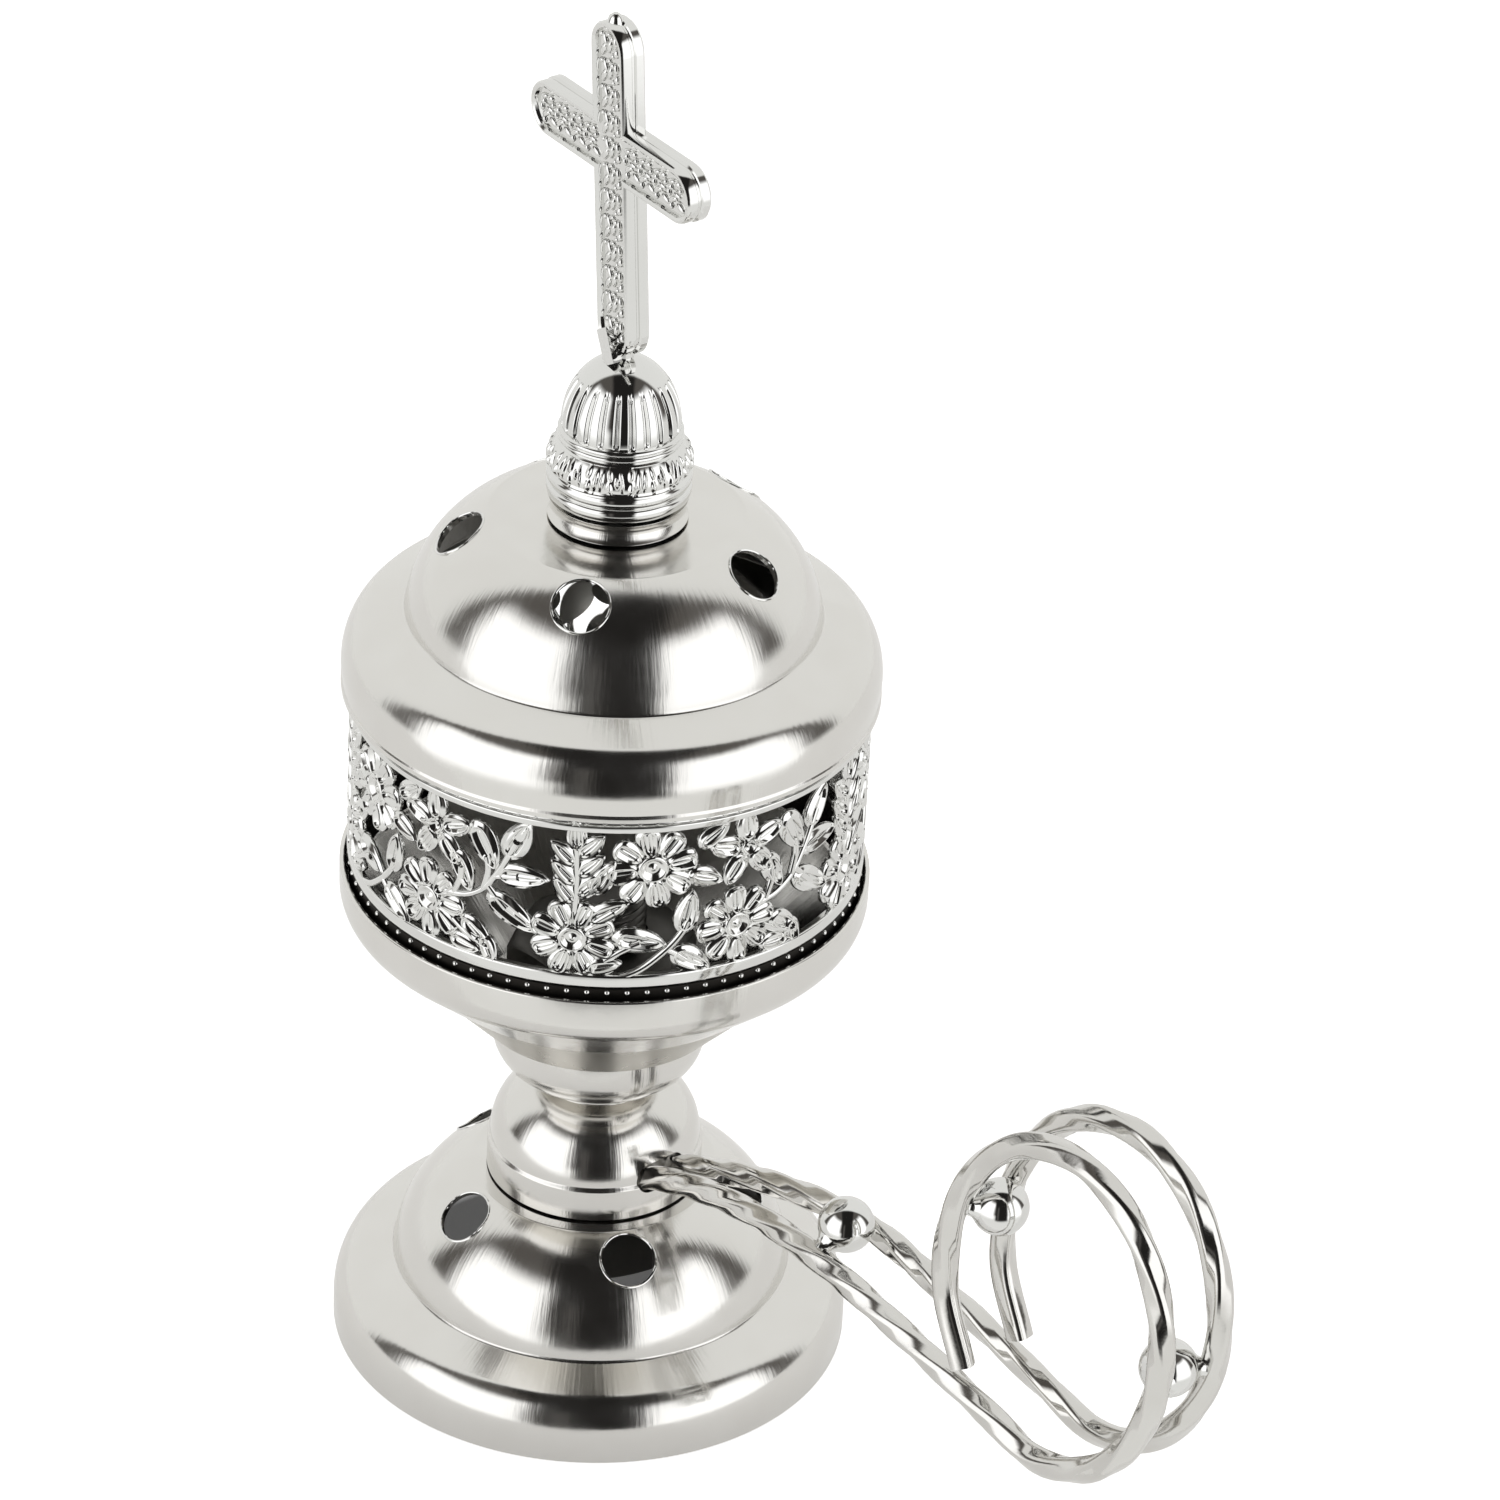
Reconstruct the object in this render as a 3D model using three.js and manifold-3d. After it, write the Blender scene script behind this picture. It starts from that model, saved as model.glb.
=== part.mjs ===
// Table censer: a footed bowl, a domed lid with a pierced gallery and a cross, and a twisted wire handle.
// Millimetres, +Z up. The turned pieces share one upright axis, and the handle reaches out along +X.
import * as THREE from 'three';
import { mergeVertices } from 'three/addons/utils/BufferGeometryUtils.js';
import Module from 'manifold-3d';

const manifold = await Module();
manifold.setup();

// Clearances
const seatGap = 0.3; // between two pieces that touch
const threadGap = 0.3; // between a rod and the hole or nut around it
const liftGap = 0.5; // all round, between the lid's seat ring and the bowl

// Sheet and the shared pressing, which makes both the foot and the lid
const sheet = 0.6;
const rimRadius = 30.1;
const rimWall = 2.6;
const shoulderRadius = 26.4;
const shoulderHeight = 8.0;
const creaseRadius = 23.4;
const creaseHeight = 9.2;
const domeFoot = [23.2, 9.4]; // where the round of the dome starts
const domeRound = 14.8;
const domeFootTilt = 83; // slope of the round where it starts, and where it meets the platform
const domeTopTilt = 23;
const footLip = 1.7;
const ventCount = 5;
const ventRadius = 3.2;
const ventReach = 17.5;
const ventTilt = 50; // slope of the drill, from level
const ventDrillLength = 5;
const footVentTurn = -26.5;
const lidVentTurn = -53;

// Tie rod, nuts and washers that hold the stand together
const rodRadius = 5.0;
const rodBelowNut = 3.0;
const rodAboveNut = 5.5;
const nutAcrossFlats = 19.0;
const nutHeight = 8.0;
const washerRadius = 11.0;
const washerHeight = 1.2;

// Knop, stem cup and bowl, from the foot's platform upward
const knopSkirtRadius = 12.5;
const knopSkirtHeight = 4.4;
const knopDomeRadius = 12.2;
const knopDomeHeight = 8.7;
const knopNeck = 6.8; // radius of the short neck on top of the dome
const knopCrown = 2.0; // where the round of the dome would end if no neck cut it off
const cupFootRadius = 8.2;
const cupRadius = 12.3;
const cupRound = 5.2;
const cupRoundHeight = 5.4; // where the round of the cup ends upright, over its foot
const cupFlare = -72; // where the round of the cup starts, in degrees below level
const cupHeight = 7.4;
const bowlFloorRadius = 13.2;
const bowlUnderRadius = 14.5;
const bowlUnderHeight = 0.8;
const bowlCreaseRadius = 21.2;
const bowlCreaseHeight = 7.9;
const bowlFlankTilt = 41;
const bowlRound = 4.0;
const bowlRadius = rimRadius - 0.1; // the bowl's wall stands just inside the line of the lid's rim
const bowlLip = 2.9; // upright wall above the round

// Handle: two twisted square wires side by side, with three beads between them
const wireSide = 2.4;
const wireCorner = 0.35;
const wireInside = 2.6;
const socketDepth = 10;
const wireStartSpread = 1.9;
const wireSpread = 4.25;
const wireSpreadReach = 42;
const wireTwistPitch = 34;
const wireSteps = 50;
// Reach from the axis and height over the knop's foot of the points that the wires pass before the loop
const shankRoute = [[9.5, 3.0], [13.6, 5.5], [27, 10.3], [42, 12.3], [57.5, 10.3]];
const loopCentreReach = 79.6;
const loopCentreRise = 26.3;
const loopHalfWidth = 16.4;
const loopHalfHeight = 20.2;
const loopLean = 0.1;
const loopStart = -112;
const loopEnd = 227;
const loopPoints = 13;
const beadRadius = 3.2;
const beadPlaces = [0.203, 0.566, 0.881];

// Lid: gallery, seat ring, collar, finial and cross
const galleryRadius = rimRadius - sheet - seatGap; // fits inside the lid's rim
const galleryWall = 0.8;
const galleryMiddle = galleryRadius - galleryWall / 2;
const galleryHeight = 0.7535 * galleryMiddle; // the stamped strip keeps its proportions
const galleryTopRail = 1.9;
const galleryBottomRail = 1.3;
const galleryInLid = 2.6;
const galleryAboveBowl = 1.4;
const galleryRepeats = 5;
const galleryTurn = -30.5;
const petalShoulder = 0.32; // half the width of a petal's end, as a share of the petals' pitch
const petalValley = 0.62; // reach of the notch between two petals, as a share of the flower's radius
const stemWidth = 1.8; // degrees round the band
const seatRingWall = 0.8;
const collarRadius = 7.8;
const collarWaist = 7.1;
const collarHeight = 2.4;
const collarFoot = 0.8;
const collarWaistHeight = 1.3;
const collarLip = 0.6;
const finialRingRadius = 8.0;
const finialRingHeight = 3.2;
const finialGroove = 0.3;
const finialBandRadius = 8.15;
const finialBandHeight = 3.6;
const finialNeckRadius = 6.95;
const finialNeckHeight = 1.5;
const finialDomeRadius = 6.6;
const finialDomeHeight = 8.6;
const finialSmoothTop = 1.0;
const fluteCount = 24;
const fluteDepth = 0.35;
const studRadius = 2.0;
const studInFinial = 9.0;
const studBelowNut = 1.6;
const studNutAcrossFlats = 7.0;
const studNutHeight = 3.2;
const studWasherRadius = 4.5;
const studWasherHeight = 0.8;
const crossHeight = 40.0;
const crossSpan = 32.0;
const crossWidth = 6.5;
const crossArmWidth = 6.4;
const crossArmDrop = 15.0;
const crossThickness = 3.0;
const crossTurn = -8;
const crossLean = 2.4; // toward the front, out of its own plane
const crossRoll = -1.6; // in its own plane, away from the handle
const crossPegRadius = 1.1;
const crossPegLength = 4.0;

// How finely the round pieces are cut into flat faces
const largeSides = 36;
const gallerySides = 30;
const smallSides = 24;
const tinySides = 12;
const boreSegments = 10;
const crossSegments = 8;

const rodSides = 20;
const facetTolerance = 1e-4; // corners closer than this are one corner
const sharpestCorner = 0.5; // limits how far a sheet's inner corner moves at a sharp bend

const radians = THREE.MathUtils.degToRad;

// Heights of the stacked pieces above the table
const pressedPlatform = pressingPlatformHeight();
const knopBase = pressedPlatform + seatGap;
const knopTop = knopBase + knopSkirtHeight + knopDomeHeight;
const cupBase = knopTop + seatGap;
const cupTop = cupBase + cupHeight;
const bowlBase = cupTop + seatGap;
const bowlRim = bowlRoundCentre() + bowlLip;
const galleryBase = bowlRim + galleryAboveBowl;
const lidBase = galleryBase + galleryHeight;
const lidPlatform = lidBase + pressedPlatform;
const collarBase = lidPlatform + seatGap;
const finialBase = collarBase + collarHeight + seatGap;
const finialTop = finialBase + finialRingHeight + finialBandHeight + finialNeckHeight + finialDomeHeight;
const crossBase = finialTop + seatGap;

// Finishes
const spunNickel = { color: 0xc9c7c2, roughness: 0.22, metalness: 1 };
const satinNickel = { color: 0xb4b0a8, roughness: 0.38, metalness: 1 };
const brightChrome = { color: 0xd6d6d4, roughness: 0.08, metalness: 1 };
const twistedChrome = { color: 0xcfcfcc, roughness: 0.14, metalness: 1 };
const darkSteel = { color: 0x4a4947, roughness: 0.45, metalness: 1 };

// Points along an arc, angles in degrees from the outward direction
function arc(centreRadius, centreHeight, radius, from, to, steps) {
  const points = [];
  for (let i = 0; i <= steps; i++) {
    const angle = radians(from + ((to - from) * i) / steps);
    points.push([centreRadius + radius * Math.cos(angle), centreHeight + radius * Math.sin(angle)]);
  }
  return points;
}

// Points along a quarter of an ellipse that starts upright at [radius, height] and would end level,
// up to the share of it where it stops, in degrees
function quarterEllipse(startRadius, startHeight, endRadius, endHeight, steps, stop = 90) {
  return arc(0, 0, 1, 0, stop, steps).map(([across, up]) => [
    endRadius + (startRadius - endRadius) * across,
    startHeight + (endHeight - startHeight) * up,
  ]);
}

// Radius and height of the centre of the dome's round
function domeCentre() {
  const start = radians(90 - domeFootTilt);
  return [domeFoot[0] - domeRound * Math.cos(start), domeFoot[1] - domeRound * Math.sin(start)];
}

// Points up the round of the dome, from its foot to the edge of the platform
function domeArc(steps) {
  return arc(...domeCentre(), domeRound, 90 - domeFootTilt, 90 - domeTopTilt, steps);
}

function pressingPlatformHeight() {
  return domeArc(1)[1][1];
}

// Height of the round of the dome at a radius
function domeHeightAt(radius) {
  const [centreRadius, centreHeight] = domeCentre();
  return centreHeight + Math.sqrt(domeRound ** 2 - (radius - centreRadius) ** 2);
}

// Outer outline of the pressing, from its edge up to the hole in its platform
function pressingOutline(holeRadius) {
  const rimRound = quarterEllipse(rimRadius, rimWall, shoulderRadius, shoulderHeight, 3);
  return [
    [rimRadius, 0],
    ...rimRound,
    [creaseRadius, creaseHeight],
    ...domeArc(5),
    [holeRadius, pressedPlatform],
  ];
}

// Closed profile of a sheet of even thickness whose outer face follows the outline.
// The sheet lies to the left of the outline's direction.
function sheetProfile(outline, wall) {
  const inner = outline.map(([radius, height], i) => {
    const before = outline[Math.max(i - 1, 0)];
    const after = outline[Math.min(i + 1, outline.length - 1)];
    const first = new THREE.Vector2(radius - before[0], height - before[1]).normalize();
    const second = new THREE.Vector2(after[0] - radius, after[1] - height).normalize();
    if (i === 0) first.copy(second);
    if (i === outline.length - 1) second.copy(first);
    const along = first.clone().add(second).normalize();
    const reach = wall / Math.max(along.dot(first), sharpestCorner);
    return [radius - along.y * reach, height + along.x * reach];
  });
  return [...outline, ...inner.reverse(), outline[0]];
}

// Closes a geometry: shared corners merged, empty faces dropped, faces turned outward
function sealed(geometry) {
  const bare = new THREE.BufferGeometry();
  bare.setAttribute('position', geometry.getAttribute('position'));
  if (geometry.index) bare.setIndex(geometry.index);
  const merged = mergeVertices(bare, facetTolerance);
  const position = merged.getAttribute('position');
  const faces = [];
  let volume = 0;
  const [a, b, c] = [new THREE.Vector3(), new THREE.Vector3(), new THREE.Vector3()];
  for (let i = 0; i < merged.index.count; i += 3) {
    const corners = [merged.index.getX(i), merged.index.getX(i + 1), merged.index.getX(i + 2)];
    if (new Set(corners).size < 3) continue;
    faces.push(corners);
    a.fromBufferAttribute(position, corners[0]);
    b.fromBufferAttribute(position, corners[1]);
    c.fromBufferAttribute(position, corners[2]);
    volume += a.dot(b.cross(c));
  }
  const outward = volume > 0 ? faces : faces.map(([p, q, r]) => [p, r, q]);
  merged.setIndex(outward.flat());
  merged.computeVertexNormals();
  return merged;
}

// A turned piece from a profile of [radius, height] points that closes on itself or on the axis
function turned(profile, sides) {
  const points = profile.map(([radius, height]) => new THREE.Vector2(radius, height));
  const geometry = new THREE.LatheGeometry(points, sides);
  geometry.rotateX(Math.PI / 2);
  return sealed(geometry);
}

// A plain ring or disc with a bore, standing on the height given
function turnedRing(innerRadius, outerRadius, base, height, sides) {
  const top = base + height;
  const corners = [[innerRadius, base], [outerRadius, base], [outerRadius, top], [innerRadius, top]];
  return turned([...corners, corners[0]], sides);
}

function toSolid(geometry) {
  const closed = sealed(geometry);
  return new manifold.Manifold(
    new manifold.Mesh({
      numProp: 3,
      vertProperties: new Float32Array(closed.getAttribute('position').array),
      triVerts: new Uint32Array(closed.index.array),
    }),
  );
}

function toGeometry(solid) {
  const mesh = solid.getMesh();
  const geometry = new THREE.BufferGeometry();
  geometry.setAttribute('position', new THREE.BufferAttribute(mesh.vertProperties, 3));
  geometry.setIndex(new THREE.BufferAttribute(mesh.triVerts, 1));
  geometry.computeVertexNormals();
  return geometry;
}

function named(name, geometry, finish) {
  const mesh = new THREE.Mesh(geometry, new THREE.MeshStandardMaterial(finish));
  mesh.name = name;
  return mesh;
}

// Drills the ring of vent holes through the sloping top of a pressing
function drillVents(geometry, base, firstTurn) {
  let solid = toSolid(geometry);
  for (let i = 0; i < ventCount; i++) {
    const drill = new THREE.CylinderGeometry(ventRadius, ventRadius, ventDrillLength, tinySides);
    drill.rotateZ(radians(ventTilt - 90));
    drill.rotateX(Math.PI / 2);
    drill.translate(ventReach, 0, base + domeHeightAt(ventReach) - sheet / 2);
    drill.rotateZ(radians(firstTurn + (360 * i) / ventCount));
    solid = solid.subtract(toSolid(drill));
  }
  return toGeometry(solid);
}

function hexNut(acrossFlats, boreRadius, base, height) {
  const corner = acrossFlats / 2 / Math.cos(Math.PI / 6);
  const outline = new THREE.Shape();
  for (let i = 0; i < 6; i++) {
    const angle = (i * Math.PI) / 3;
    outline[i ? 'lineTo' : 'moveTo'](corner * Math.cos(angle), corner * Math.sin(angle));
  }
  outline.closePath();
  outline.holes.push(new THREE.Path().absarc(0, 0, boreRadius, 0, 2 * Math.PI, true));
  const settings = { depth: height, bevelEnabled: false, curveSegments: boreSegments };
  const geometry = new THREE.ExtrudeGeometry(outline, settings);
  geometry.translate(0, 0, base);
  return sealed(geometry);
}

// Stand, from the foot upward

function baseShell() {
  const outline = [[rimRadius - footLip, 0], ...pressingOutline(rodRadius + threadGap)];
  return drillVents(turned(sheetProfile(outline, sheet), largeSides), 0, footVentTurn);
}

const baseWasherBase = pressedPlatform - sheet - seatGap - washerHeight;
const baseNutBase = baseWasherBase - seatGap - nutHeight;
const bowlFloor = bowlBase + sheet;
const bowlWasherBase = bowlFloor + seatGap;
const bowlNutBase = bowlWasherBase + washerHeight + seatGap;

function tieRod() {
  const bottom = baseNutBase - rodBelowNut;
  const top = bowlNutBase + nutHeight + rodAboveNut;
  return turned([[0, bottom], [rodRadius, bottom], [rodRadius, top], [0, top]], rodSides);
}

function washer(base) {
  return turnedRing(rodRadius + threadGap, washerRadius, base, washerHeight, smallSides);
}

// Outer outline of the knop above its foot edge, without the top hole
function knopOutline() {
  const crease = knopBase + knopSkirtHeight;
  const stop = THREE.MathUtils.radToDeg(Math.acos((knopNeck - knopCrown) / (knopDomeRadius - knopCrown)));
  return [
    [knopSkirtRadius, knopBase],
    [knopSkirtRadius, crease - (knopSkirtRadius - knopDomeRadius)],
    ...quarterEllipse(knopDomeRadius, crease, knopCrown, knopTop, 5, stop),
    [knopNeck, knopTop],
    [rodRadius + threadGap, knopTop],
  ];
}

// The knop is a spun hollow with two openings where the handle wires go in
function knop() {
  let solid = toSolid(turned(sheetProfile(knopOutline(), sheet), smallSides));
  const route = wireRoute(1);
  const start = route.getPoint(0);
  const heading = route.getTangent(0);
  const socketRadius = wireEnvelope + seatGap;
  for (const side of [-1, 1]) {
    const socket = new THREE.CylinderGeometry(socketRadius, socketRadius, socketDepth, tinySides);
    socket.rotateZ(-Math.PI / 2 + Math.atan2(heading.z, heading.x));
    socket.rotateX(Math.PI / 2);
    const middle = start.clone().addScaledVector(heading, wireInside);
    socket.translate(middle.x, side * wireStartSpread, middle.z);
    solid = solid.subtract(toSolid(socket));
  }
  return toGeometry(solid);
}

function stemCup() {
  const outline = [
    [rodRadius + threadGap, cupBase],
    [cupFootRadius, cupBase],
    ...arc(cupRadius - cupRound, cupBase + cupRoundHeight, cupRound, cupFlare, 0, 4),
    [cupRadius, cupTop],
  ];
  return turned(sheetProfile(outline, sheet), smallSides);
}

// The flank of the bowl rises at a slope into a round of bowlRound, which ends upright below the rim
function bowlRoundCentre() {
  const slope = radians(bowlFlankTilt);
  const across = bowlRadius - bowlRound - bowlCreaseRadius;
  return bowlBase + bowlCreaseHeight + (bowlRound + across * Math.sin(slope)) / Math.cos(slope);
}

function bowl() {
  const outline = [
    [rodRadius + threadGap, bowlBase],
    [bowlFloorRadius, bowlBase],
    [bowlUnderRadius, bowlBase + bowlUnderHeight],
    [bowlCreaseRadius, bowlBase + bowlCreaseHeight],
    ...arc(bowlRadius - bowlRound, bowlRoundCentre(), bowlRound, bowlFlankTilt - 90, 0, 3),
    [bowlRadius, bowlRim],
  ];
  return turned(sheetProfile(outline, sheet), largeSides);
}

// Handle

const wireEnvelope = Math.hypot(wireSide / 2, wireSide / 2 - wireCorner);

// How far each wire stands from the middle plane at a reach from the axis
function spreadAt(reach) {
  const share = THREE.MathUtils.smoothstep(reach, knopSkirtRadius, wireSpreadReach);
  return wireStartSpread + (wireSpread - wireStartSpread) * share;
}

// Route of one wire, side -1 or 1; side 0 is the middle of the pair
function wireRoute(side) {
  const loop = [];
  for (let i = 0; i < loopPoints; i++) {
    const angle = radians(loopStart + ((loopEnd - loopStart) * i) / (loopPoints - 1));
    const rise = loopHalfHeight * Math.sin(angle);
    loop.push([loopCentreReach + loopHalfWidth * Math.cos(angle) + loopLean * rise, loopCentreRise + rise]);
  }
  const points = [...shankRoute, ...loop].map(
    ([reach, height]) => new THREE.Vector3(reach, side * spreadAt(reach), knopBase + height),
  );
  return new THREE.CatmullRomCurve3(points, false, 'centripetal');
}

// A square bar with cut corners, swept along its route and twisted at a steady pitch
function twistedWire(side) {
  const route = wireRoute(side);
  const length = route.getLength();
  const half = wireSide / 2;
  const cut = half - wireCorner;
  const section = [];
  for (let quarter = 0; quarter < 4; quarter++) {
    const [cos, sin] = [Math.cos((quarter * Math.PI) / 2), Math.sin((quarter * Math.PI) / 2)];
    for (const up of [-cut, cut]) {
      section.push([half * cos - up * sin, half * sin + up * cos]);
    }
  }
  const corners = section.length;
  const positions = [];
  const faces = [];
  const sideways = new THREE.Vector3(0, 1, 0);
  for (let i = 0; i <= wireSteps; i++) {
    const centre = route.getPointAt(i / wireSteps);
    const along = route.getTangentAt(i / wireSteps);
    const across = sideways.clone().addScaledVector(along, -along.y).normalize();
    const up = new THREE.Vector3().crossVectors(along, across);
    const twist = (side * 2 * Math.PI * length * i) / wireSteps / wireTwistPitch;
    for (const [x, y] of section) {
      const point = centre.clone();
      point.addScaledVector(across, x * Math.cos(twist) - y * Math.sin(twist));
      point.addScaledVector(up, x * Math.sin(twist) + y * Math.cos(twist));
      positions.push(point.x, point.y, point.z);
    }
  }
  for (let i = 0; i < wireSteps; i++) {
    for (let k = 0; k < corners; k++) {
      const [a, b] = [i * corners + k, i * corners + ((k + 1) % corners)];
      faces.push(a, b, b + corners, a, b + corners, a + corners);
    }
  }
  const last = wireSteps * corners;
  for (let k = 1; k < corners - 1; k++) {
    faces.push(0, k + 1, k, last, last + k, last + k + 1);
  }
  const geometry = new THREE.BufferGeometry();
  geometry.setAttribute('position', new THREE.Float32BufferAttribute(positions, 3));
  geometry.setIndex(faces);
  return sealed(geometry);
}

// A bead rests against both wires, above the shank or inside the loop
function handleBead(place) {
  const route = wireRoute(0);
  const point = route.getPointAt(place);
  const along = route.getTangentAt(place);
  const reach = beadRadius + wireEnvelope + seatGap;
  const offset = Math.sqrt(reach * reach - wireSpread * wireSpread);
  const geometry = new THREE.SphereGeometry(beadRadius, 14, 8);
  geometry.translate(point.x - along.z * offset, 0, point.z + along.x * offset);
  return sealed(geometry);
}

// Lid

function lidShell() {
  const outline = pressingOutline(studRadius + threadGap);
  const geometry = turned(sheetProfile(outline, sheet), largeSides);
  geometry.translate(0, 0, lidBase);
  return drillVents(geometry, lidBase, lidVentTurn);
}

// Bends a flat relief, x along the band and z outward, onto the gallery's cylinder
function bent(geometry) {
  const position = geometry.getAttribute('position');
  for (let i = 0; i < position.count; i++) {
    const angle = position.getX(i) / galleryMiddle;
    const radius = galleryRadius - galleryWall + position.getZ(i);
    position.setXYZ(i, radius * Math.cos(angle), radius * Math.sin(angle), position.getY(i));
  }
  return geometry;
}

// A flower seen from the front, with blunt petals round its middle
function flower(petals, radius) {
  const points = [];
  for (let i = 0; i < petals; i++) {
    for (const [turn, reach] of [[-petalShoulder, 1], [petalShoulder, 1], [0.5, petalValley]]) {
      const angle = (2 * Math.PI * (i + turn)) / petals;
      const point = [reach * radius * Math.cos(angle), reach * radius * Math.sin(angle)];
      points.push(new THREE.Vector2(...point));
    }
  }
  return new THREE.Shape(points);
}

// A leaf pointed at both ends, lying along X from its root at the origin
function leaf(length, width) {
  const outline = [[0, 0], [0.5 * length, -width / 2], [length, 0], [0.5 * length, width / 2]];
  return new THREE.Shape(outline.map((point) => new THREE.Vector2(...point)));
}

// A bar along X whose ends run past its two points by a third of its width
function bar(length, width) {
  const [from, to, half] = [-width / 3, length + width / 3, width / 2];
  const outline = [[from, -half], [to, -half], [to, half], [from, half]];
  return new THREE.Shape(outline.map((point) => new THREE.Vector2(...point)));
}

// One repeat of the floral band. A place is degrees round the band and a share of its height,
// and a flower's radius and a leaf's width are degrees round the band as well.
const flowers = [
  { petals: 8, radius: 10.0, at: [0, 0.69] },
  { petals: 8, radius: 9.4, at: [-16.5, 0.27] },
  { petals: 8, radius: 9.2, at: [20.5, 0.27] },
  { petals: 5, radius: 8.4, at: [22.5, 0.72] },
];
const leaves = [
  { width: 4.8, from: [34.0, 0.43], to: [27.0, 0.7] },
  { width: 5.6, from: [38.0, 0.56], to: [32.0, 0.85] },
  { width: 4.8, from: [37.0, 0.5], to: [49.5, 0.62] },
  { width: 5.2, from: [35.0, 0.46], to: [47.5, 0.28] },
  { width: 5.2, from: [-14.5, 0.44], to: [-20.5, 0.78] },
  { width: 5.2, from: [-14.5, 0.46], to: [-13.5, 0.93] },
  { width: 5.2, from: [-14.5, 0.46], to: [-6.5, 0.68] },
  { width: 5.2, from: [-9.0, 0.31], to: [4.5, 0.22] },
  { width: 5.2, from: [6.5, 0.26], to: [12.5, 0.56] },
  { width: 5.2, from: [4.0, 0.18], to: [14.5, 0.02] },
  { width: 5.2, from: [27.5, 0.25], to: [38.5, 0.03] },
];
const stems = [
  [[25.5, 0.4], [35.5, 0.47], [39.5, 0.66], [44.5, 0.94]],
  [[-5.5, 0.03], [3.5, 0.18], [9.0, 0.5]],
];

// One repeat of the flowers, leaves and stems, joined while it is still flat
function galleryRepeat() {
  const wide = (degrees) => radians(degrees) * galleryMiddle;
  const flat = ([turn, rise]) => [wide(turn), galleryBase + rise * galleryHeight];
  const span = (from, to) => Math.hypot(flat(to)[0] - flat(from)[0], flat(to)[1] - flat(from)[1]);
  const laid = (outline, from, to) => {
    const [start, end] = [flat(from), flat(to)];
    const relief = new THREE.ExtrudeGeometry(outline, { depth: galleryWall, bevelEnabled: false });
    relief.rotateZ(Math.atan2(end[1] - start[1], end[0] - start[0]));
    relief.translate(...start, 0);
    return toSolid(relief);
  };
  const pieces = [
    ...flowers.map(({ petals, radius, at }) => laid(flower(petals, wide(radius)), at, [at[0] + 1, at[1]])),
    ...leaves.map(({ width, from, to }) => laid(leaf(span(from, to), wide(width)), from, to)),
  ];
  for (const points of stems) {
    for (let i = 1; i < points.length; i++) {
      const [from, to] = [points[i - 1], points[i]];
      pieces.push(laid(bar(span(from, to), wide(stemWidth)), from, to));
    }
  }
  return pieces.reduce((joined, piece) => joined.add(piece));
}

// The gallery is one pierced band between two plain rails, its top rail held inside the lid's rim
function galleryBand() {
  const inner = galleryRadius - galleryWall;
  const rails = [
    [galleryBase, galleryBottomRail],
    [lidBase - galleryTopRail, galleryTopRail + galleryInLid],
  ].map(([base, height]) => toSolid(turnedRing(inner, galleryRadius, base, height, gallerySides)));
  let solid = rails[0].add(rails[1]);
  const repeat = bent(toGeometry(galleryRepeat()));
  repeat.rotateZ(radians(galleryTurn));
  for (let i = 0; i < galleryRepeats; i++) {
    solid = solid.add(toSolid(repeat));
    repeat.rotateZ((2 * Math.PI) / galleryRepeats);
  }
  return toGeometry(solid);
}

// The seat ring hangs below the gallery and rests on the round of the bowl's wall
function seatRing() {
  const outer = bowlRadius - sheet - liftGap;
  const centre = bowlRadius - bowlRound;
  const inside = bowlRound - sheet;
  const drop = Math.sqrt(inside * inside - (outer - centre) * (outer - centre));
  const base = bowlRoundCentre() - drop + seatGap;
  return turnedRing(outer - seatRingWall, outer, base, galleryBase - seatGap - base, largeSides);
}

function lidCollar() {
  const top = collarBase + collarHeight;
  const profile = [
    [studRadius + threadGap, collarBase],
    [collarRadius, collarBase],
    [collarRadius, collarBase + collarFoot],
    [collarWaist, collarBase + collarWaistHeight],
    [collarRadius, top - collarLip],
    [collarRadius, top],
    [studRadius + threadGap, top],
    [studRadius + threadGap, collarBase],
  ];
  return turned(profile, smallSides);
}

// Cast cap: two base rings, a bulged band, a neck and a fluted dome with a hole for the cross
function finialCap() {
  const bandBase = finialBase + finialRingHeight;
  const neckBase = bandBase + finialBandHeight;
  const domeBase = neckBase + finialNeckHeight;
  const groove = finialBase + finialRingHeight / 2;
  const pegHole = crossPegRadius + seatGap;
  const round = quarterEllipse(finialDomeRadius, domeBase, 0, finialTop, 6);
  const dome = round.filter(([radius]) => radius > pegHole);
  const pegBottom = crossBase - crossPegLength - seatGap;
  const bore = [
    [0, finialBase + studInFinial + seatGap],
    [studRadius + threadGap, finialBase + studInFinial + seatGap],
    [studRadius + threadGap, finialBase],
  ];
  const skin = [
    [finialRingRadius, finialBase],
    [finialRingRadius, groove - finialGroove],
    [finialRingRadius - finialGroove, groove],
    [finialRingRadius, groove + finialGroove],
    [finialRingRadius, bandBase],
    [finialBandRadius, bandBase + finialBandHeight / 3],
    [finialNeckRadius, neckBase],
    [finialNeckRadius, domeBase],
    ...dome,
    [pegHole, finialTop - fluteDepth],
    [pegHole, pegBottom],
    [0, pegBottom],
  ];
  const geometry = turned([...bore, ...skin], 2 * fluteCount);
  const position = geometry.getAttribute('position');
  for (let i = 0; i < position.count; i++) {
    const [x, y, z] = [position.getX(i), position.getY(i), position.getZ(i)];
    const column = Math.round((Math.atan2(y, x) / Math.PI) * fluteCount);
    const radius = Math.hypot(x, y);
    const inFlutes = z > domeBase - facetTolerance && z < finialTop - finialSmoothTop;
    const onDome = inFlutes && radius > pegHole + seatGap;
    const scale = onDome && column % 2 ? 1 - fluteDepth / radius : 1;
    position.setXY(i, x * scale, y * scale);
  }
  return sealed(geometry);
}

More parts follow.
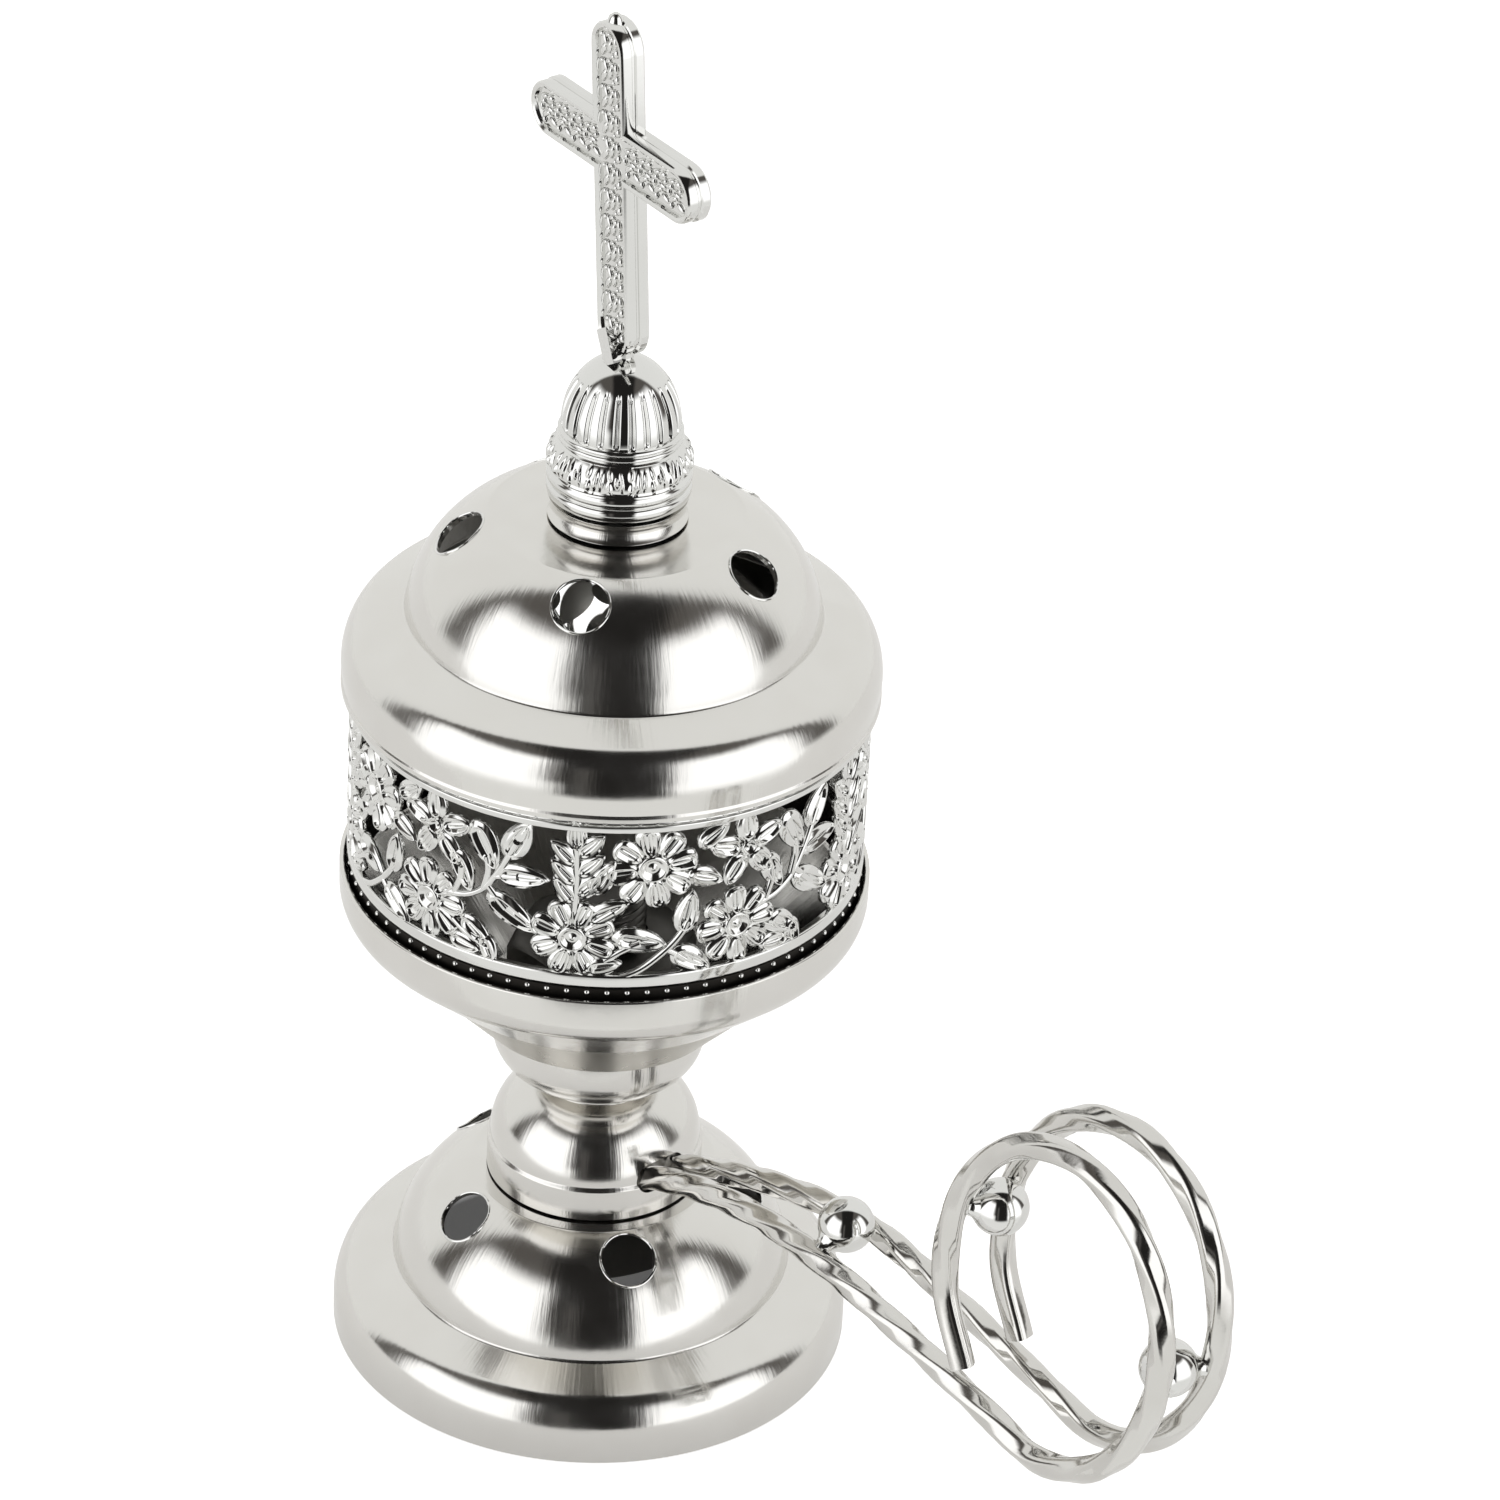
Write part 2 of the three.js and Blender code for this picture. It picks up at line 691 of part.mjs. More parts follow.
// Latin cross with rounded ends, and the peg that stands in the finial
function cross() {
  const half = crossWidth / 2;
  const armHalf = crossArmWidth / 2;
  const reach = crossSpan / 2 - armHalf;
  const top = crossHeight - half;
  const arms = crossHeight - crossArmDrop;
  const outline = new THREE.Shape();
  outline.moveTo(-half, half);
  outline.absarc(0, half, half, Math.PI, 2 * Math.PI, false);
  outline.lineTo(half, arms - armHalf);
  outline.lineTo(reach, arms - armHalf);
  outline.absarc(reach, arms, armHalf, -Math.PI / 2, Math.PI / 2, false);
  outline.lineTo(half, arms + armHalf);
  outline.lineTo(half, top);
  outline.absarc(0, top, half, 0, Math.PI, false);
  outline.lineTo(-half, arms + armHalf);
  outline.lineTo(-reach, arms + armHalf);
  outline.absarc(-reach, arms, armHalf, Math.PI / 2, (3 * Math.PI) / 2, false);
  outline.lineTo(-half, arms - armHalf);
  outline.closePath();
  const settings = { depth: crossThickness, bevelEnabled: false, curveSegments: crossSegments };
  const plate = new THREE.ExtrudeGeometry(outline, settings);
  plate.translate(0, 0, -crossThickness / 2);
  plate.rotateX(Math.PI / 2);
  plate.rotateY(radians(crossRoll));
  plate.rotateX(radians(crossLean));
  plate.translate(0, 0, crossBase);
  const peg = new THREE.CylinderGeometry(crossPegRadius, crossPegRadius, crossPegLength + half, tinySides);
  peg.rotateX(Math.PI / 2);
  peg.translate(0, 0, crossBase + (half - crossPegLength) / 2);
  const geometry = toGeometry(toSolid(plate).add(toSolid(peg)));
  geometry.rotateZ(radians(crossTurn));
  return geometry;
}

const studWasherBase = lidPlatform - sheet - seatGap - studWasherHeight;
const studNutBase = studWasherBase - seatGap - studNutHeight;

function finialStud() {
  const bottom = studNutBase - studBelowNut;
  const top = finialBase + studInFinial;
  return turned([[0, bottom], [studRadius, bottom], [studRadius, top], [0, top]], tinySides);
}

function studWasher() {
  return turnedRing(studRadius + threadGap, studWasherRadius, studWasherBase, studWasherHeight, rodSides);
}

function studNut() {
  return hexNut(studNutAcrossFlats, studRadius + threadGap, studNutBase, studNutHeight);
}

const stand = new THREE.Group();
stand.add(
  named('base_shell', baseShell(), spunNickel),
  named('base_washer', washer(baseWasherBase), darkSteel),
  named('base_nut', hexNut(nutAcrossFlats, rodRadius + threadGap, baseNutBase, nutHeight), darkSteel),
  named('tie_rod', tieRod(), darkSteel),
  named('knop', knop(), spunNickel),
  named('stem_cup', stemCup(), spunNickel),
  named('bowl', bowl(), spunNickel),
  named('bowl_washer', washer(bowlWasherBase), darkSteel),
  named('bowl_nut', hexNut(nutAcrossFlats, rodRadius + threadGap, bowlNutBase, nutHeight), darkSteel),
  named('handle_wire_front', twistedWire(-1), twistedChrome),
  named('handle_wire_back', twistedWire(1), twistedChrome),
  ...beadPlaces.map((place, i) => named(`handle_bead_${i + 1}`, handleBead(place), brightChrome)),
);

const lid = new THREE.Group();
lid.add(
  named('lid_shell', lidShell(), spunNickel),
  named('gallery_band', galleryBand(), brightChrome),
  named('seat_ring', seatRing(), satinNickel),
  named('lid_collar', lidCollar(), satinNickel),
  named('finial_cap', finialCap(), brightChrome),
  named('cross', cross(), brightChrome),
  named('finial_stud', finialStud(), darkSteel),
  named('stud_washer', studWasher(), darkSteel),
  named('stud_nut', studNut(), darkSteel),
);

// The origin is under the middle of the whole object, so the axis stands toward the bowl's side of it
const loopReach = Math.hypot(loopHalfWidth, loopLean * loopHalfHeight);
const handleReach = loopCentreReach + loopReach + wireEnvelope;
const censer = new THREE.Group();
const onAxis = new THREE.Group();
onAxis.position.x = (rimRadius - handleReach) / 2;
onAxis.add(stand, lid);
censer.add(onAxis);
export default censer;
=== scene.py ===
"""A table censer: spun foot, knop, cup and bowl, a handle of two twisted wires with three beads, and
a lift-off lid with a pierced floral gallery, a fluted finial and a cross. Sizes are in millimetres."""
import bisect
import math

import bmesh
import bpy
from mathutils import Matrix, Vector


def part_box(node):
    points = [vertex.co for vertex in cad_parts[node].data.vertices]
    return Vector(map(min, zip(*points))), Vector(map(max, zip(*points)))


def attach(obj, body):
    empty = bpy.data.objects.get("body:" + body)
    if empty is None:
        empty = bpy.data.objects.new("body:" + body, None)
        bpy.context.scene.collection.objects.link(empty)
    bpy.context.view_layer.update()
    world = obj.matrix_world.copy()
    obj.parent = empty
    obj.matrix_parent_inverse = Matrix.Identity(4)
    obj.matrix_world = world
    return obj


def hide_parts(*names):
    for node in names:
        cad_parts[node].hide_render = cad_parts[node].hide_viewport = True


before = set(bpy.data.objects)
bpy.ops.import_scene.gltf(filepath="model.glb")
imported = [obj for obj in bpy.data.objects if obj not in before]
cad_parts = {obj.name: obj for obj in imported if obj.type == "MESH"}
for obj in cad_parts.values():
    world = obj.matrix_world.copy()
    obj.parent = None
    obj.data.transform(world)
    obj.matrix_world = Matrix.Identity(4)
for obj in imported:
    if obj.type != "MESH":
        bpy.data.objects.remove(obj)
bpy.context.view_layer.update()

MM = 0.001
FRAME_PIXELS = 1500
SENSOR_WIDTH = 36.0

# Where the photograph was taken from, about the turned axis
CAMERA_AZIMUTH = 49.0
CAMERA_REACH = 598.2
CAMERA_HEIGHT = 436.9
CAMERA_PITCH = 30.97
CAMERA_YAW = 1.51
CAMERA_ROLL = 2.9
FOCAL_PIXELS = 6232.8
CAMERA_NEAR = 10

# The pressing that makes both the foot and the lid
SHEET = 0.6
RIM_RADIUS = 30.1
RIM_WALL = 2.6
SHOULDER = (26.4, 8.0)
RIM_STOP = 74.5
CREASE = (23.4, 9.2)
DOME_FOOT = (23.2, 9.4)
DOME_ROUND = 14.8
DOME_FOOT_TILT = 83.0
DOME_TOP_TILT = 23.0
PLATFORM_EASE = 1.2
FOOT_LIP = 1.7
VENT_COUNT = 5
VENT_RADIUS = 3.2
VENT_REACH = 17.5
VENT_TILT = 50.0
BURR = 0.15
FOOT_VENT_TURN = -26.5
LID_VENT_TURN = -53.0
VENT_SIDES = 72
DRILL_START = -4.0
DRILL_END = 3.0
DRILL_HALVINGS = 24
PRESSING_EASE = 0.35
PRESSING_INNER_EASE = 0.25
LID_EDGE = [(RIM_RADIUS, 0.0), (RIM_RADIUS, 0.5), (RIM_RADIUS - 0.14, 0.75)]

# Rod, nuts, knop, cup and bowl. An ease is the radius to which folds are rounded
ROD_RADIUS = 5.0
ROD_PITCH = 1.0
THREAD_DEPTH = 0.55
THREAD_ROWS = 8
THREAD_SHAPE = 1.3
ROD_CHAMFER = 0.7
ROD_SIDES = 72
ROD_HOLE = 5.3
LID_HOLE = 2.3
NUT_ACROSS_FLATS = 19.0
NUT_CHAMFER = 30.0
NUT_LAND = 0.95
NUT_SIDES = 120
SPUN_EASE = 0.2
KNOP_SKIRT_RADIUS = 12.5
KNOP_SKIRT_HEIGHT = 4.4
KNOP_DOME_RADIUS = 12.2
KNOP_NECK = 6.8
KNOP_CROWN = 2.0
KNOP_SKIRT_EDGE = 0.55
KNOP_DOME_EDGE = 0.2
KNOP_EASE = 0.3
CUP_FOOT_RADIUS = 8.2
CUP_RADIUS = 12.3
CUP_ROUND = 5.2
CUP_ROUND_HEIGHT = 5.4
CUP_FLARE = -72.0
CUP_EASE = 0.4
BOWL_FLOOR_RADIUS = 13.2
BOWL_UNDER = (14.5, 0.8)
BOWL_CREASE = (21.2, 7.9)
BOWL_FLANK_TILT = 41.0
BOWL_ROUND = 4.0
BOWL_RADIUS = 30.0
BOWL_EASE = 0.6
BOWL_INNER_EASE = 0.22

# Handle. The route repeats the solid's: reach from the axis and height over the knop's foot
WIRE_SIDE = 2.66
WIRE_CORNER = 0.88
WIRE_SLOT = 1.62
WIRE_SLOT_BACK = 2.0
WIRE_SLOT_AHEAD = 8.0
WIRE_STEPS = 900
WIRE_FIRST_TWIST = 20.0
WIRE_START_SPREAD = 1.9
WIRE_SPREAD = 4.25
WIRE_SPREAD_REACH = 42.0
SHANK_ROUTE = [(9.5, 3.0), (13.6, 5.5), (27.0, 10.3), (42.0, 12.3), (57.5, 10.3)]
LOOP_CENTRE = (79.6, 26.3)
LOOP_HALF_WIDTH = 16.25
LOOP_HALF_HEIGHT = 20.2
LOOP_LEAN = 0.1
LOOP_START = -112.0
LOOP_END = 227.0
LOOP_POINTS = 13
SHANK_TWIST_PITCH = 27.0
SHANK_TWIST_END = 55.0
LOOP_TWIST_PITCH = 38.0
TWIST_BLEND = 12.0
TWIST_STOP = (14.0, 4.0)
SPAN_STEPS = 60
BEAD_RADIUS = 3.2
SOLDER_SINK = 0.55
SOLDER_SINK_IN_WIRE = 0.3
SOLDER_RADII = [1.75, 1.25, 1.05, 1.15, 1.3]

# Gallery, seat ring, collar, finial and cross
GALLERY_RADIUS = 29.2
GALLERY_WALL = 0.8
GALLERY_REPEATS = 5
GALLERY_TURN = -30.5
STEM_RADIUS = 0.42
STEM_HEIGHT = 0.36
RAIL_HEIGHT = 1.6
RAIL_TOP_DROP = 1.1
RAIL_TOP_HEIGHT = 0.8
CRIMP_TEETH = 96
CRIMP_RADIUS = 0.13
CRIMP_INSET = 0.3
CRIMP_HEIGHTS = (0.2, 0.85)
RAIL_EASE = 0.3
RAIL_TOP_EASE = 0.22
RAIL_LEDGE = 0.35
SEAT_WALL = 0.7
SEAT_EASE = 0.2
SEAT_BEADS = 82
SEAT_BEAD_RADIUS = 0.36
SEAT_BEAD_INSET = 0.1
SEAT_BEAD_DROP = 0.5
COLLAR_RADIUS = 7.8
COLLAR_WAIST = 7.1
COLLAR_EASE = 0.15
COLLAR_STEPS = 16
FINIAL_RING_RADIUS = 8.0
FINIAL_RING_HEIGHT = 3.2
FINIAL_BAND_RADIUS = 8.15
FINIAL_BAND_HEIGHT = 3.6
FINIAL_NECK_RADIUS = 6.95
FINIAL_NECK_HEIGHT = 1.5
FINIAL_DOME_RADIUS = 6.6
FLUTE_COUNT = 24
FLUTE_DEPTH = 0.45
BAND_REPEATS = 10
BAND_DEPTH = 0.28
CROSS_SPAN = 32.0
CROSS_WIDTH = 6.5
CROSS_HEIGHT = 40.0
CROSS_ARM_DROP = 15.0
CROSS_THICKNESS = 3.0
CROSS_TURN = -8.0
CROSS_LEAN = 2.4
CROSS_ROLL = -1.6
CROSS_GAP = 0.3
CROSS_PEG_RADIUS = 1.1
CROSS_FIELD = 0.95
NUB_HEIGHT = 0.75
NUB_RADII = [1.0, 0.75, 0.3]
ORNAMENT_PITCH = 3.04
ORNAMENT_ROWS = 12
ORNAMENT_HEIGHT = 0.36
ARM_ORNAMENT_PITCH = 2.9
ARM_ORNAMENT_GAP = 0.75
ARM_ORNAMENTS = 4

LARGE_SIDES = 240
SMALL_SIDES = 160
WELD = 0.002
FILLET_FROM_TURN = 14.0
FILLET_SHARE = 0.45
MITRE_LIMIT = 0.5

# Folds sharper than these, in degrees, show as edges: on holes, on sheet, on bars and on stampings
HOLE_CREASE = 30
SHEET_CREASE = 32
BAR_CREASE = 50
STAMPED_CREASE = 60

# The plating's clouds of tone, and the radius at which drawn lines have the width that a finish gives
CLOUD_SIZE = 6
CLOUD_RANGE = (0.35, 0.65)
LINE_RADIUS = 25.0
LINE_STRETCH = 0.12

# The floor glows a little: to the camera, in metal, and least of all under the foot
FLOOR_RADIUS = 900.0
FLOOR_FRONT = 47.0
FLOOR_DROP = 0.2
FLOOR_SIDES = 96
FLOOR_LIFT = 0.8
FLOOR_LIFT_IN_METAL = 0.33
FLOOR_LIFT_UNDER_FOOT = 0.1
FLOOR_SHADE_WIDTH = 4
FLOOR_ROUGHNESS = 0.9

# Stretches of the tent, each from one angle to another in degrees, with the softness of its ends
TENT_STRENGTH = 1.5
CEILING_TILT = 0.22
CEILING_EDGE = (0, 100, 3)
CEILING_HEIGHT = (-4, 100, 6)
SOFTBOX_TURN = (26, 84, 6)
SOFTBOX_HEIGHT = (-18, 42, 8)
CAMERA_SIDE_LEAN = (-19, 24, 4)
CAMERA_SIDE_RISE = (-26, 90, 6)
STREAK_TURN = (-13, -7, 3)
STREAK_RISE = (-24, 30, 8)

# Corners of one end of a box, and the faces of a box whose two ends have their corners in that order
BOX_END = [(-1, -1), (1, -1), (1, 1), (-1, 1)]
BOX_FACES = [(0, 1, 2, 3), (4, 5, 6, 7), (0, 1, 5, 4), (1, 2, 6, 5), (2, 3, 7, 6), (3, 0, 4, 7)]

# Lowest and highest corner of each CAD node, the turned axis, and the level directions of the camera
BOXES = {node: [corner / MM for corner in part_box(node)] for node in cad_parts}
AXIS_X = sum(corner.x for corner in BOXES["bowl"]) / 2
AZIMUTH = math.radians(CAMERA_AZIMUTH)
TOWARD_CAMERA = Vector((math.sin(AZIMUTH), -math.cos(AZIMUTH), 0))
RIGHTWARD = Vector((math.cos(AZIMUTH), math.sin(AZIMUTH), 0))


def heights(node):
    low, high = BOXES[node]
    return low.z, high.z


def about_axis(radius, angle, height):
    """A point at a radius from the turned axis, its angle in radians."""
    return (AXIS_X + radius * math.cos(angle), radius * math.sin(angle), height)


def swung(origin, along, aside, turn):
    """A point on the flat, along and aside of a direction in degrees that starts at the origin."""
    cos, sin = math.cos(math.radians(turn)), math.sin(math.radians(turn))
    return origin[0] + along * cos - aside * sin, origin[1] + along * sin + aside * cos


def eased(value, low, high):
    """How far a value is from low to high, from 0 to 1, with a soft start and end."""
    share = min(max((value - low) / (high - low), 0.0), 1.0)
    return share * share * (3 - 2 * share)


# Mesh helpers. Every outline and vertex is in millimetres until the mesh is made

def arc(centre, radius, start, end, steps):
    angles = [math.radians(start + (end - start) * i / steps) for i in range(steps + 1)]
    return [(centre[0] + radius * math.cos(a), centre[1] + radius * math.sin(a)) for a in angles]


def quarter_ellipse(start, end, steps, stop=90):
    """From an upright start toward a level end, up to the share of it in degrees where it stops."""
    return [
        (end[0] + (start[0] - end[0]) * across, start[1] + (end[1] - start[1]) * up)
        for across, up in arc((0, 0), 1, 0, stop, steps)
    ]


def filleted(outline, radius, steps=5):
    """Rounds the corners of an open outline wherever it turns by more than a little."""
    rounded = [outline[0]]
    for before, corner, after in zip(outline, outline[1:], outline[2:]):
        tip = Vector(corner[:2])
        back = Vector(before[:2]) - tip
        ahead = Vector(after[:2]) - tip
        opening = back.angle(ahead, math.pi)
        if math.pi - opening < math.radians(FILLET_FROM_TURN):
            rounded.append(corner)
            continue
        room = FILLET_SHARE * min(back.length, ahead.length)
        trim = min(radius / math.tan(opening / 2), room)
        first = tip + back.normalized() * trim
        last = tip + ahead.normalized() * trim
        for i in range(steps + 1):
            share = i / steps
            point = first.lerp(tip, share).lerp(tip.lerp(last, share), share)
            rounded.append((point.x, point.y, *corner[2:]))
    rounded.append(outline[-1])
    return rounded


def finished(outline, finish):
    """Gives every point of an outline the number of its finish."""
    return [(radius, height, finish) for radius, height in outline]


def sheet_profile(outline, wall, inside_finish):
    """Closes an outline into a sheet of even thickness, which lies to the left of its direction."""
    inner = []
    for i, point in enumerate(outline):
        before = Vector(outline[max(i - 1, 0)][:2])
        here = Vector(point[:2])
        after = Vector(outline[min(i + 1, len(outline) - 1)][:2])
        first = (here - before) if i else (after - here)
        second = (after - here) if i < len(outline) - 1 else first
        along = (first.normalized() + second.normalized()).normalized()
        reach = wall / max(along.dot(first.normalized()), MITRE_LIMIT)
        inner.append((here.x - along.y * reach, here.y + along.x * reach, inside_finish))
    return [*outline, *reversed(inner)]


def ring_faces(rings, count, closed=False):
    """Faces that join each ring of points to the next, and the last to the first if closed."""
    faces = []
    for i in range(rings if closed else rings - 1):
        this, following = i * count, (i + 1) % rings * count
        for k in range(count):
            j = (k + 1) % count
            faces.append((this + k, this + j, following + j, following + k))
    return faces


def capped_faces(rings, count):
    """Faces of a bar made of rings of points: its sides and then its two ends."""
    last = (rings - 1) * count
    return [*ring_faces(rings, count), tuple(range(count)), tuple(range(last, last + count))]


def column_faces(columns, count, closed=True):
    """Faces between outlines set all round an axis, each of them closed or open."""
    faces = []
    for column in range(columns):
        this, following = column * count, (column + 1) % columns * count
        for i in range(count if closed else count - 1):
            j = (i + 1) % count
            faces.append((this + i, following + i, following + j, this + j))
    return faces


def one_finish(verts, faces):
    """A shape that has the same finish all over."""
    return verts, faces, [0] * len(faces)


def lofted(rings):
    """Joins rings of points, and closes the first one with a face."""
    count = len(rings[0])
    verts = [point for ring in rings for point in ring]
    return one_finish(verts, [tuple(range(count)), *ring_faces(len(rings), count)])


def turned(profile, sides, base=0.0):
    """Turns a closed profile of (radius, height, finish) about the censer's axis."""
    verts = []
    for side in range(sides):
        angle = 2 * math.pi * side / sides
        verts.extend(about_axis(radius, angle, base + height) for radius, height, _ in profile)
    return verts, column_faces(sides, len(profile)), [finish for _, _, finish in profile] * sides


def joined(parts):
    """Puts several (vertices, faces, finishes) together as one."""
    verts = []
    faces = []
    finishes = []
    for part_verts, part_faces, part_finishes in parts:
        start = len(verts)
        verts.extend(part_verts)
        faces.extend(tuple(start + i for i in face) for face in part_faces)
        finishes.extend(part_finishes)
    return verts, faces, finishes


def shade(mesh, crease_angle):
    """Smooth faces with sharp edges where the surface really folds."""
    work = bmesh.new()
    work.from_mesh(mesh)
    bmesh.ops.remove_doubles(work, verts=work.verts, dist=WELD * MM)
    bmesh.ops.recalc_face_normals(work, faces=work.faces)
    for face in work.faces:
        face.smooth = True
    for edge in work.edges:
        edge.smooth = len(edge.link_faces) == 2 and edge.calc_face_angle() < math.radians(crease_angle)
    work.to_mesh(mesh)
    work.free()


def mesh_object(name, verts, faces):
    """A mesh object in the scene, its vertices given in millimetres."""
    mesh = bpy.data.meshes.new(name)
    mesh.from_pydata([Vector(v) * MM for v in verts], [], faces)
    made = bpy.data.objects.new(name, mesh)
    bpy.context.scene.collection.objects.link(made)
    return made


def piece(name, shape, body, materials, nodes, cutters=(), crease_angle=SHEET_CREASE):
    """Makes a mesh object from a shape, cuts holes in it and fixes it to the model."""
    verts, faces, finishes = shape
    made = mesh_object(name, verts, faces)
    for material in materials:
        made.data.materials.append(material)
    made.data.polygons.foreach_set("material_index", finishes)
    shade(made.data, crease_angle)
    if cutters:
        punch(made, cutters)
        shade(made.data, crease_angle)
    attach(made, body)
    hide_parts(*nodes)


def punch(target, cutters):
    """Cuts the cutters out of the target for good."""
    for verts, faces, _ in cutters:
        tool = mesh_object("cutter", verts, faces)
        shade(tool.data, HOLE_CREASE)
        cut = target.modifiers.new("cut", "BOOLEAN")
        cut.operation = "DIFFERENCE"
        cut.solver = "EXACT"
        cut.object = tool
        bpy.context.view_layer.update()
        result = bpy.data.meshes.new_from_object(target.evaluated_get(bpy.context.evaluated_depsgraph_get()))
        target.modifiers.clear()
        target.data = result
        bpy.data.objects.remove(tool)


def swept(points, radius, closed, sides=10):
    """A round bar along a list of points, of one radius or of one for each point."""
    count = len(points)
    radii = radius if isinstance(radius, list) else [radius] * count
    verts = []
    for i, point in enumerate(points):
        before = Vector(points[(i - 1) % count if closed else max(i - 1, 0)])
        after = Vector(points[(i + 1) % count if closed else min(i + 1, count - 1)])
        along = (after - before).normalized()
        reference = Vector((0, 0, 1)) if abs(along.z) < 0.9 else Vector((1, 0, 0))
        across = along.cross(reference).normalized()
        up = across.cross(along)
        for k in range(sides):
            angle = 2 * math.pi * k / sides
            verts.append(Vector(point) + radii[i] * (math.cos(angle) * across + math.sin(angle) * up))
    faces = ring_faces(count, sides, True) if closed else capped_faces(count, sides)
    return one_finish(verts, faces)


# Finishes

def linear(code):
    """An sRGB hex colour as linear red, green, blue and alpha."""
    channels = [int(code[i : i + 2], 16) / 255 for i in (1, 3, 5)]
    return (*[c / 12.92 if c <= 0.04045 else ((c + 0.055) / 1.055) ** 2.4 for c in channels], 1)


def add(tree, kind, inputs, **settings):
    """Adds a shader node, sets it up, fills or links its inputs and gives back its outputs."""
    made = tree.nodes.new("ShaderNode" + kind)
    for name, value in settings.items():
        setattr(made, name, value)
    for name, value in inputs.items():
        if isinstance(value, bpy.types.NodeSocket):
            tree.links.new(value, made.inputs[name])
        else:
            made.inputs[name].default_value = value
    return made.outputs


def plated_metal(name, light, dark, smoothest, roughest, peel, drawn):
    """Plated or bare polished metal. peel and drawn are (size in mm, depth in mm) of the orange peel that
    the plating leaves and of the fine lines that drawing or spinning leaves along the metal."""
    material = bpy.data.materials.new(name)
    material.use_nodes = True
    tree = material.node_tree
    shader = tree.nodes["Principled BSDF"]
    place = add(tree, "TexCoord", {})["Object"]
    from_axis = add(tree, "VectorMath", {0: place, 1: (AXIS_X * MM, 0, 0)}, operation="SUBTRACT")[0]
    level = add(tree, "VectorMath", {0: from_axis, 1: (1, 1, 0)}, operation="MULTIPLY")[0]
    outward = add(tree, "VectorMath", {0: level}, operation="NORMALIZE")[0]
    lines = LINE_RADIUS / drawn[0]
    around = add(tree, "VectorMath", {0: outward, 1: (lines, lines, 0)}, operation="MULTIPLY")[0]
    rise = LINE_STRETCH / (drawn[0] * MM)
    upward = add(tree, "VectorMath", {0: from_axis, 1: (0, 0, rise)}, operation="MULTIPLY")[0]
    along = add(tree, "VectorMath", {0: around, 1: upward}, operation="ADD")[0]
    streaks = add(tree, "TexNoise", {"Vector": along, "Scale": 1.0, "Detail": 2.0})["Fac"]
    ripple = add(tree, "TexNoise", {"Vector": place, "Scale": 1 / (peel[0] * MM), "Detail": 2.0})["Fac"]
    clouds = add(tree, "TexNoise", {"Vector": place, "Scale": 1 / (CLOUD_SIZE * MM), "Detail": 3.0})["Fac"]
    tone = add(tree, "Mix", {"Factor": clouds, 6: linear(dark), 7: linear(light)}, data_type="RGBA")[2]
    low, high = CLOUD_RANGE
    polish = {"Value": clouds, "From Min": low, "From Max": high, "To Min": smoothest, "To Max": roughest}
    roughness = add(tree, "MapRange", polish)[0]
    peeled = add(tree, "Bump", {"Strength": 1.0, "Distance": peel[1] * MM, "Height": ripple})[0]
    lined = {"Strength": 1.0, "Distance": drawn[1] * MM, "Height": streaks, "Normal": peeled}
    bumps = add(tree, "Bump", lined)[0]
    shader.inputs["Metallic"].default_value = 1.0
    for socket, value in {"Base Color": tone, "Roughness": roughness, "Normal": bumps}.items():
        tree.links.new(value, shader.inputs[socket])
    return material


def spun_nickel():
    # Bright nickel on spun sheet: clear but slightly softened reflections with fine streaks down the dome
    return plated_metal("spun_bright_nickel", "#e4e3e0", "#dbd9d5", 0.13, 0.2, (1.6, 0.007), (0.5, 0.012))


def satin_nickel():
    # Where the polishing wheel didn't reach: the same nickel, warmer, greyer and softer
    return plated_metal("satin_nickel", "#d2cfc8", "#c4c0b7", 0.26, 0.34, (0.9, 0.006), (0.4, 0.006))


def mirror_chrome():
    # Chrome on small cast and stamped pieces: a hard neutral mirror
    return plated_metal("mirror_chrome", "#e6e6e4", "#dcdcda", 0.05, 0.09, (1.2, 0.003), (0.6, 0.001))


def twisted_bar_chrome():
    # Chrome on drawn square bar: a mirror broken by drawing lines and small dents from twisting
    return plated_metal("twisted_bar_chrome", "#e0dfdc", "#d2d0cc", 0.08, 0.16, (1.1, 0.012), (0.7, 0.003))


def dull_inside():
    # Inside of the shells: unpolished nickel with a dull, pebbled face
    return plated_metal("unpolished_nickel", "#b9b7b3", "#9a9894", 0.3, 0.45, (0.8, 0.03), (0.6, 0.004))


def shade_painted_ring():
    # The seat ring: nickel painted near black and without any gloss, as painted shade for the shadowed gap
    # under the gallery
    return plated_metal("nickel_painted_black_as_shade", "#3a3734", "#262422", 0.45, 0.6, (0.8, 0.02), (0.6, 0.004))


def plain_steel():
    # Plain zinc-grey steel of the rod, nuts and washers
    return plated_metal("plain_steel", "#8f8d89", "#6d6b68", 0.28, 0.42, (0.7, 0.01), (0.5, 0.003))


SPUN = spun_nickel()
SATIN = satin_nickel()
CHROME = mirror_chrome()
TWISTED = twisted_bar_chrome()
DULL = dull_inside()
RING_PAINTED_SHADE = shade_painted_ring()
STEEL = plain_steel()
SHELL_FINISHES = [SPUN, SATIN, DULL]
BRIGHT, SOFT, INSIDE = range(3)


def spun_profile(outline, ease, inner_ease=SPUN_EASE, inside_finish=INSIDE):
    """Closed profile of a spun sheet, its folds rounded once outside and again on the whole."""
    return filleted(sheet_profile(filleted(outline, ease), SHEET, inside_finish), inner_ease)


def chromed(name, shape, body, node, crease_angle=SHEET_CREASE):
    """A cast, stamped or soldered piece in chrome."""
    piece(name, shape, body, [CHROME], [node], crease_angle=crease_angle)


# Foot and lid pressing

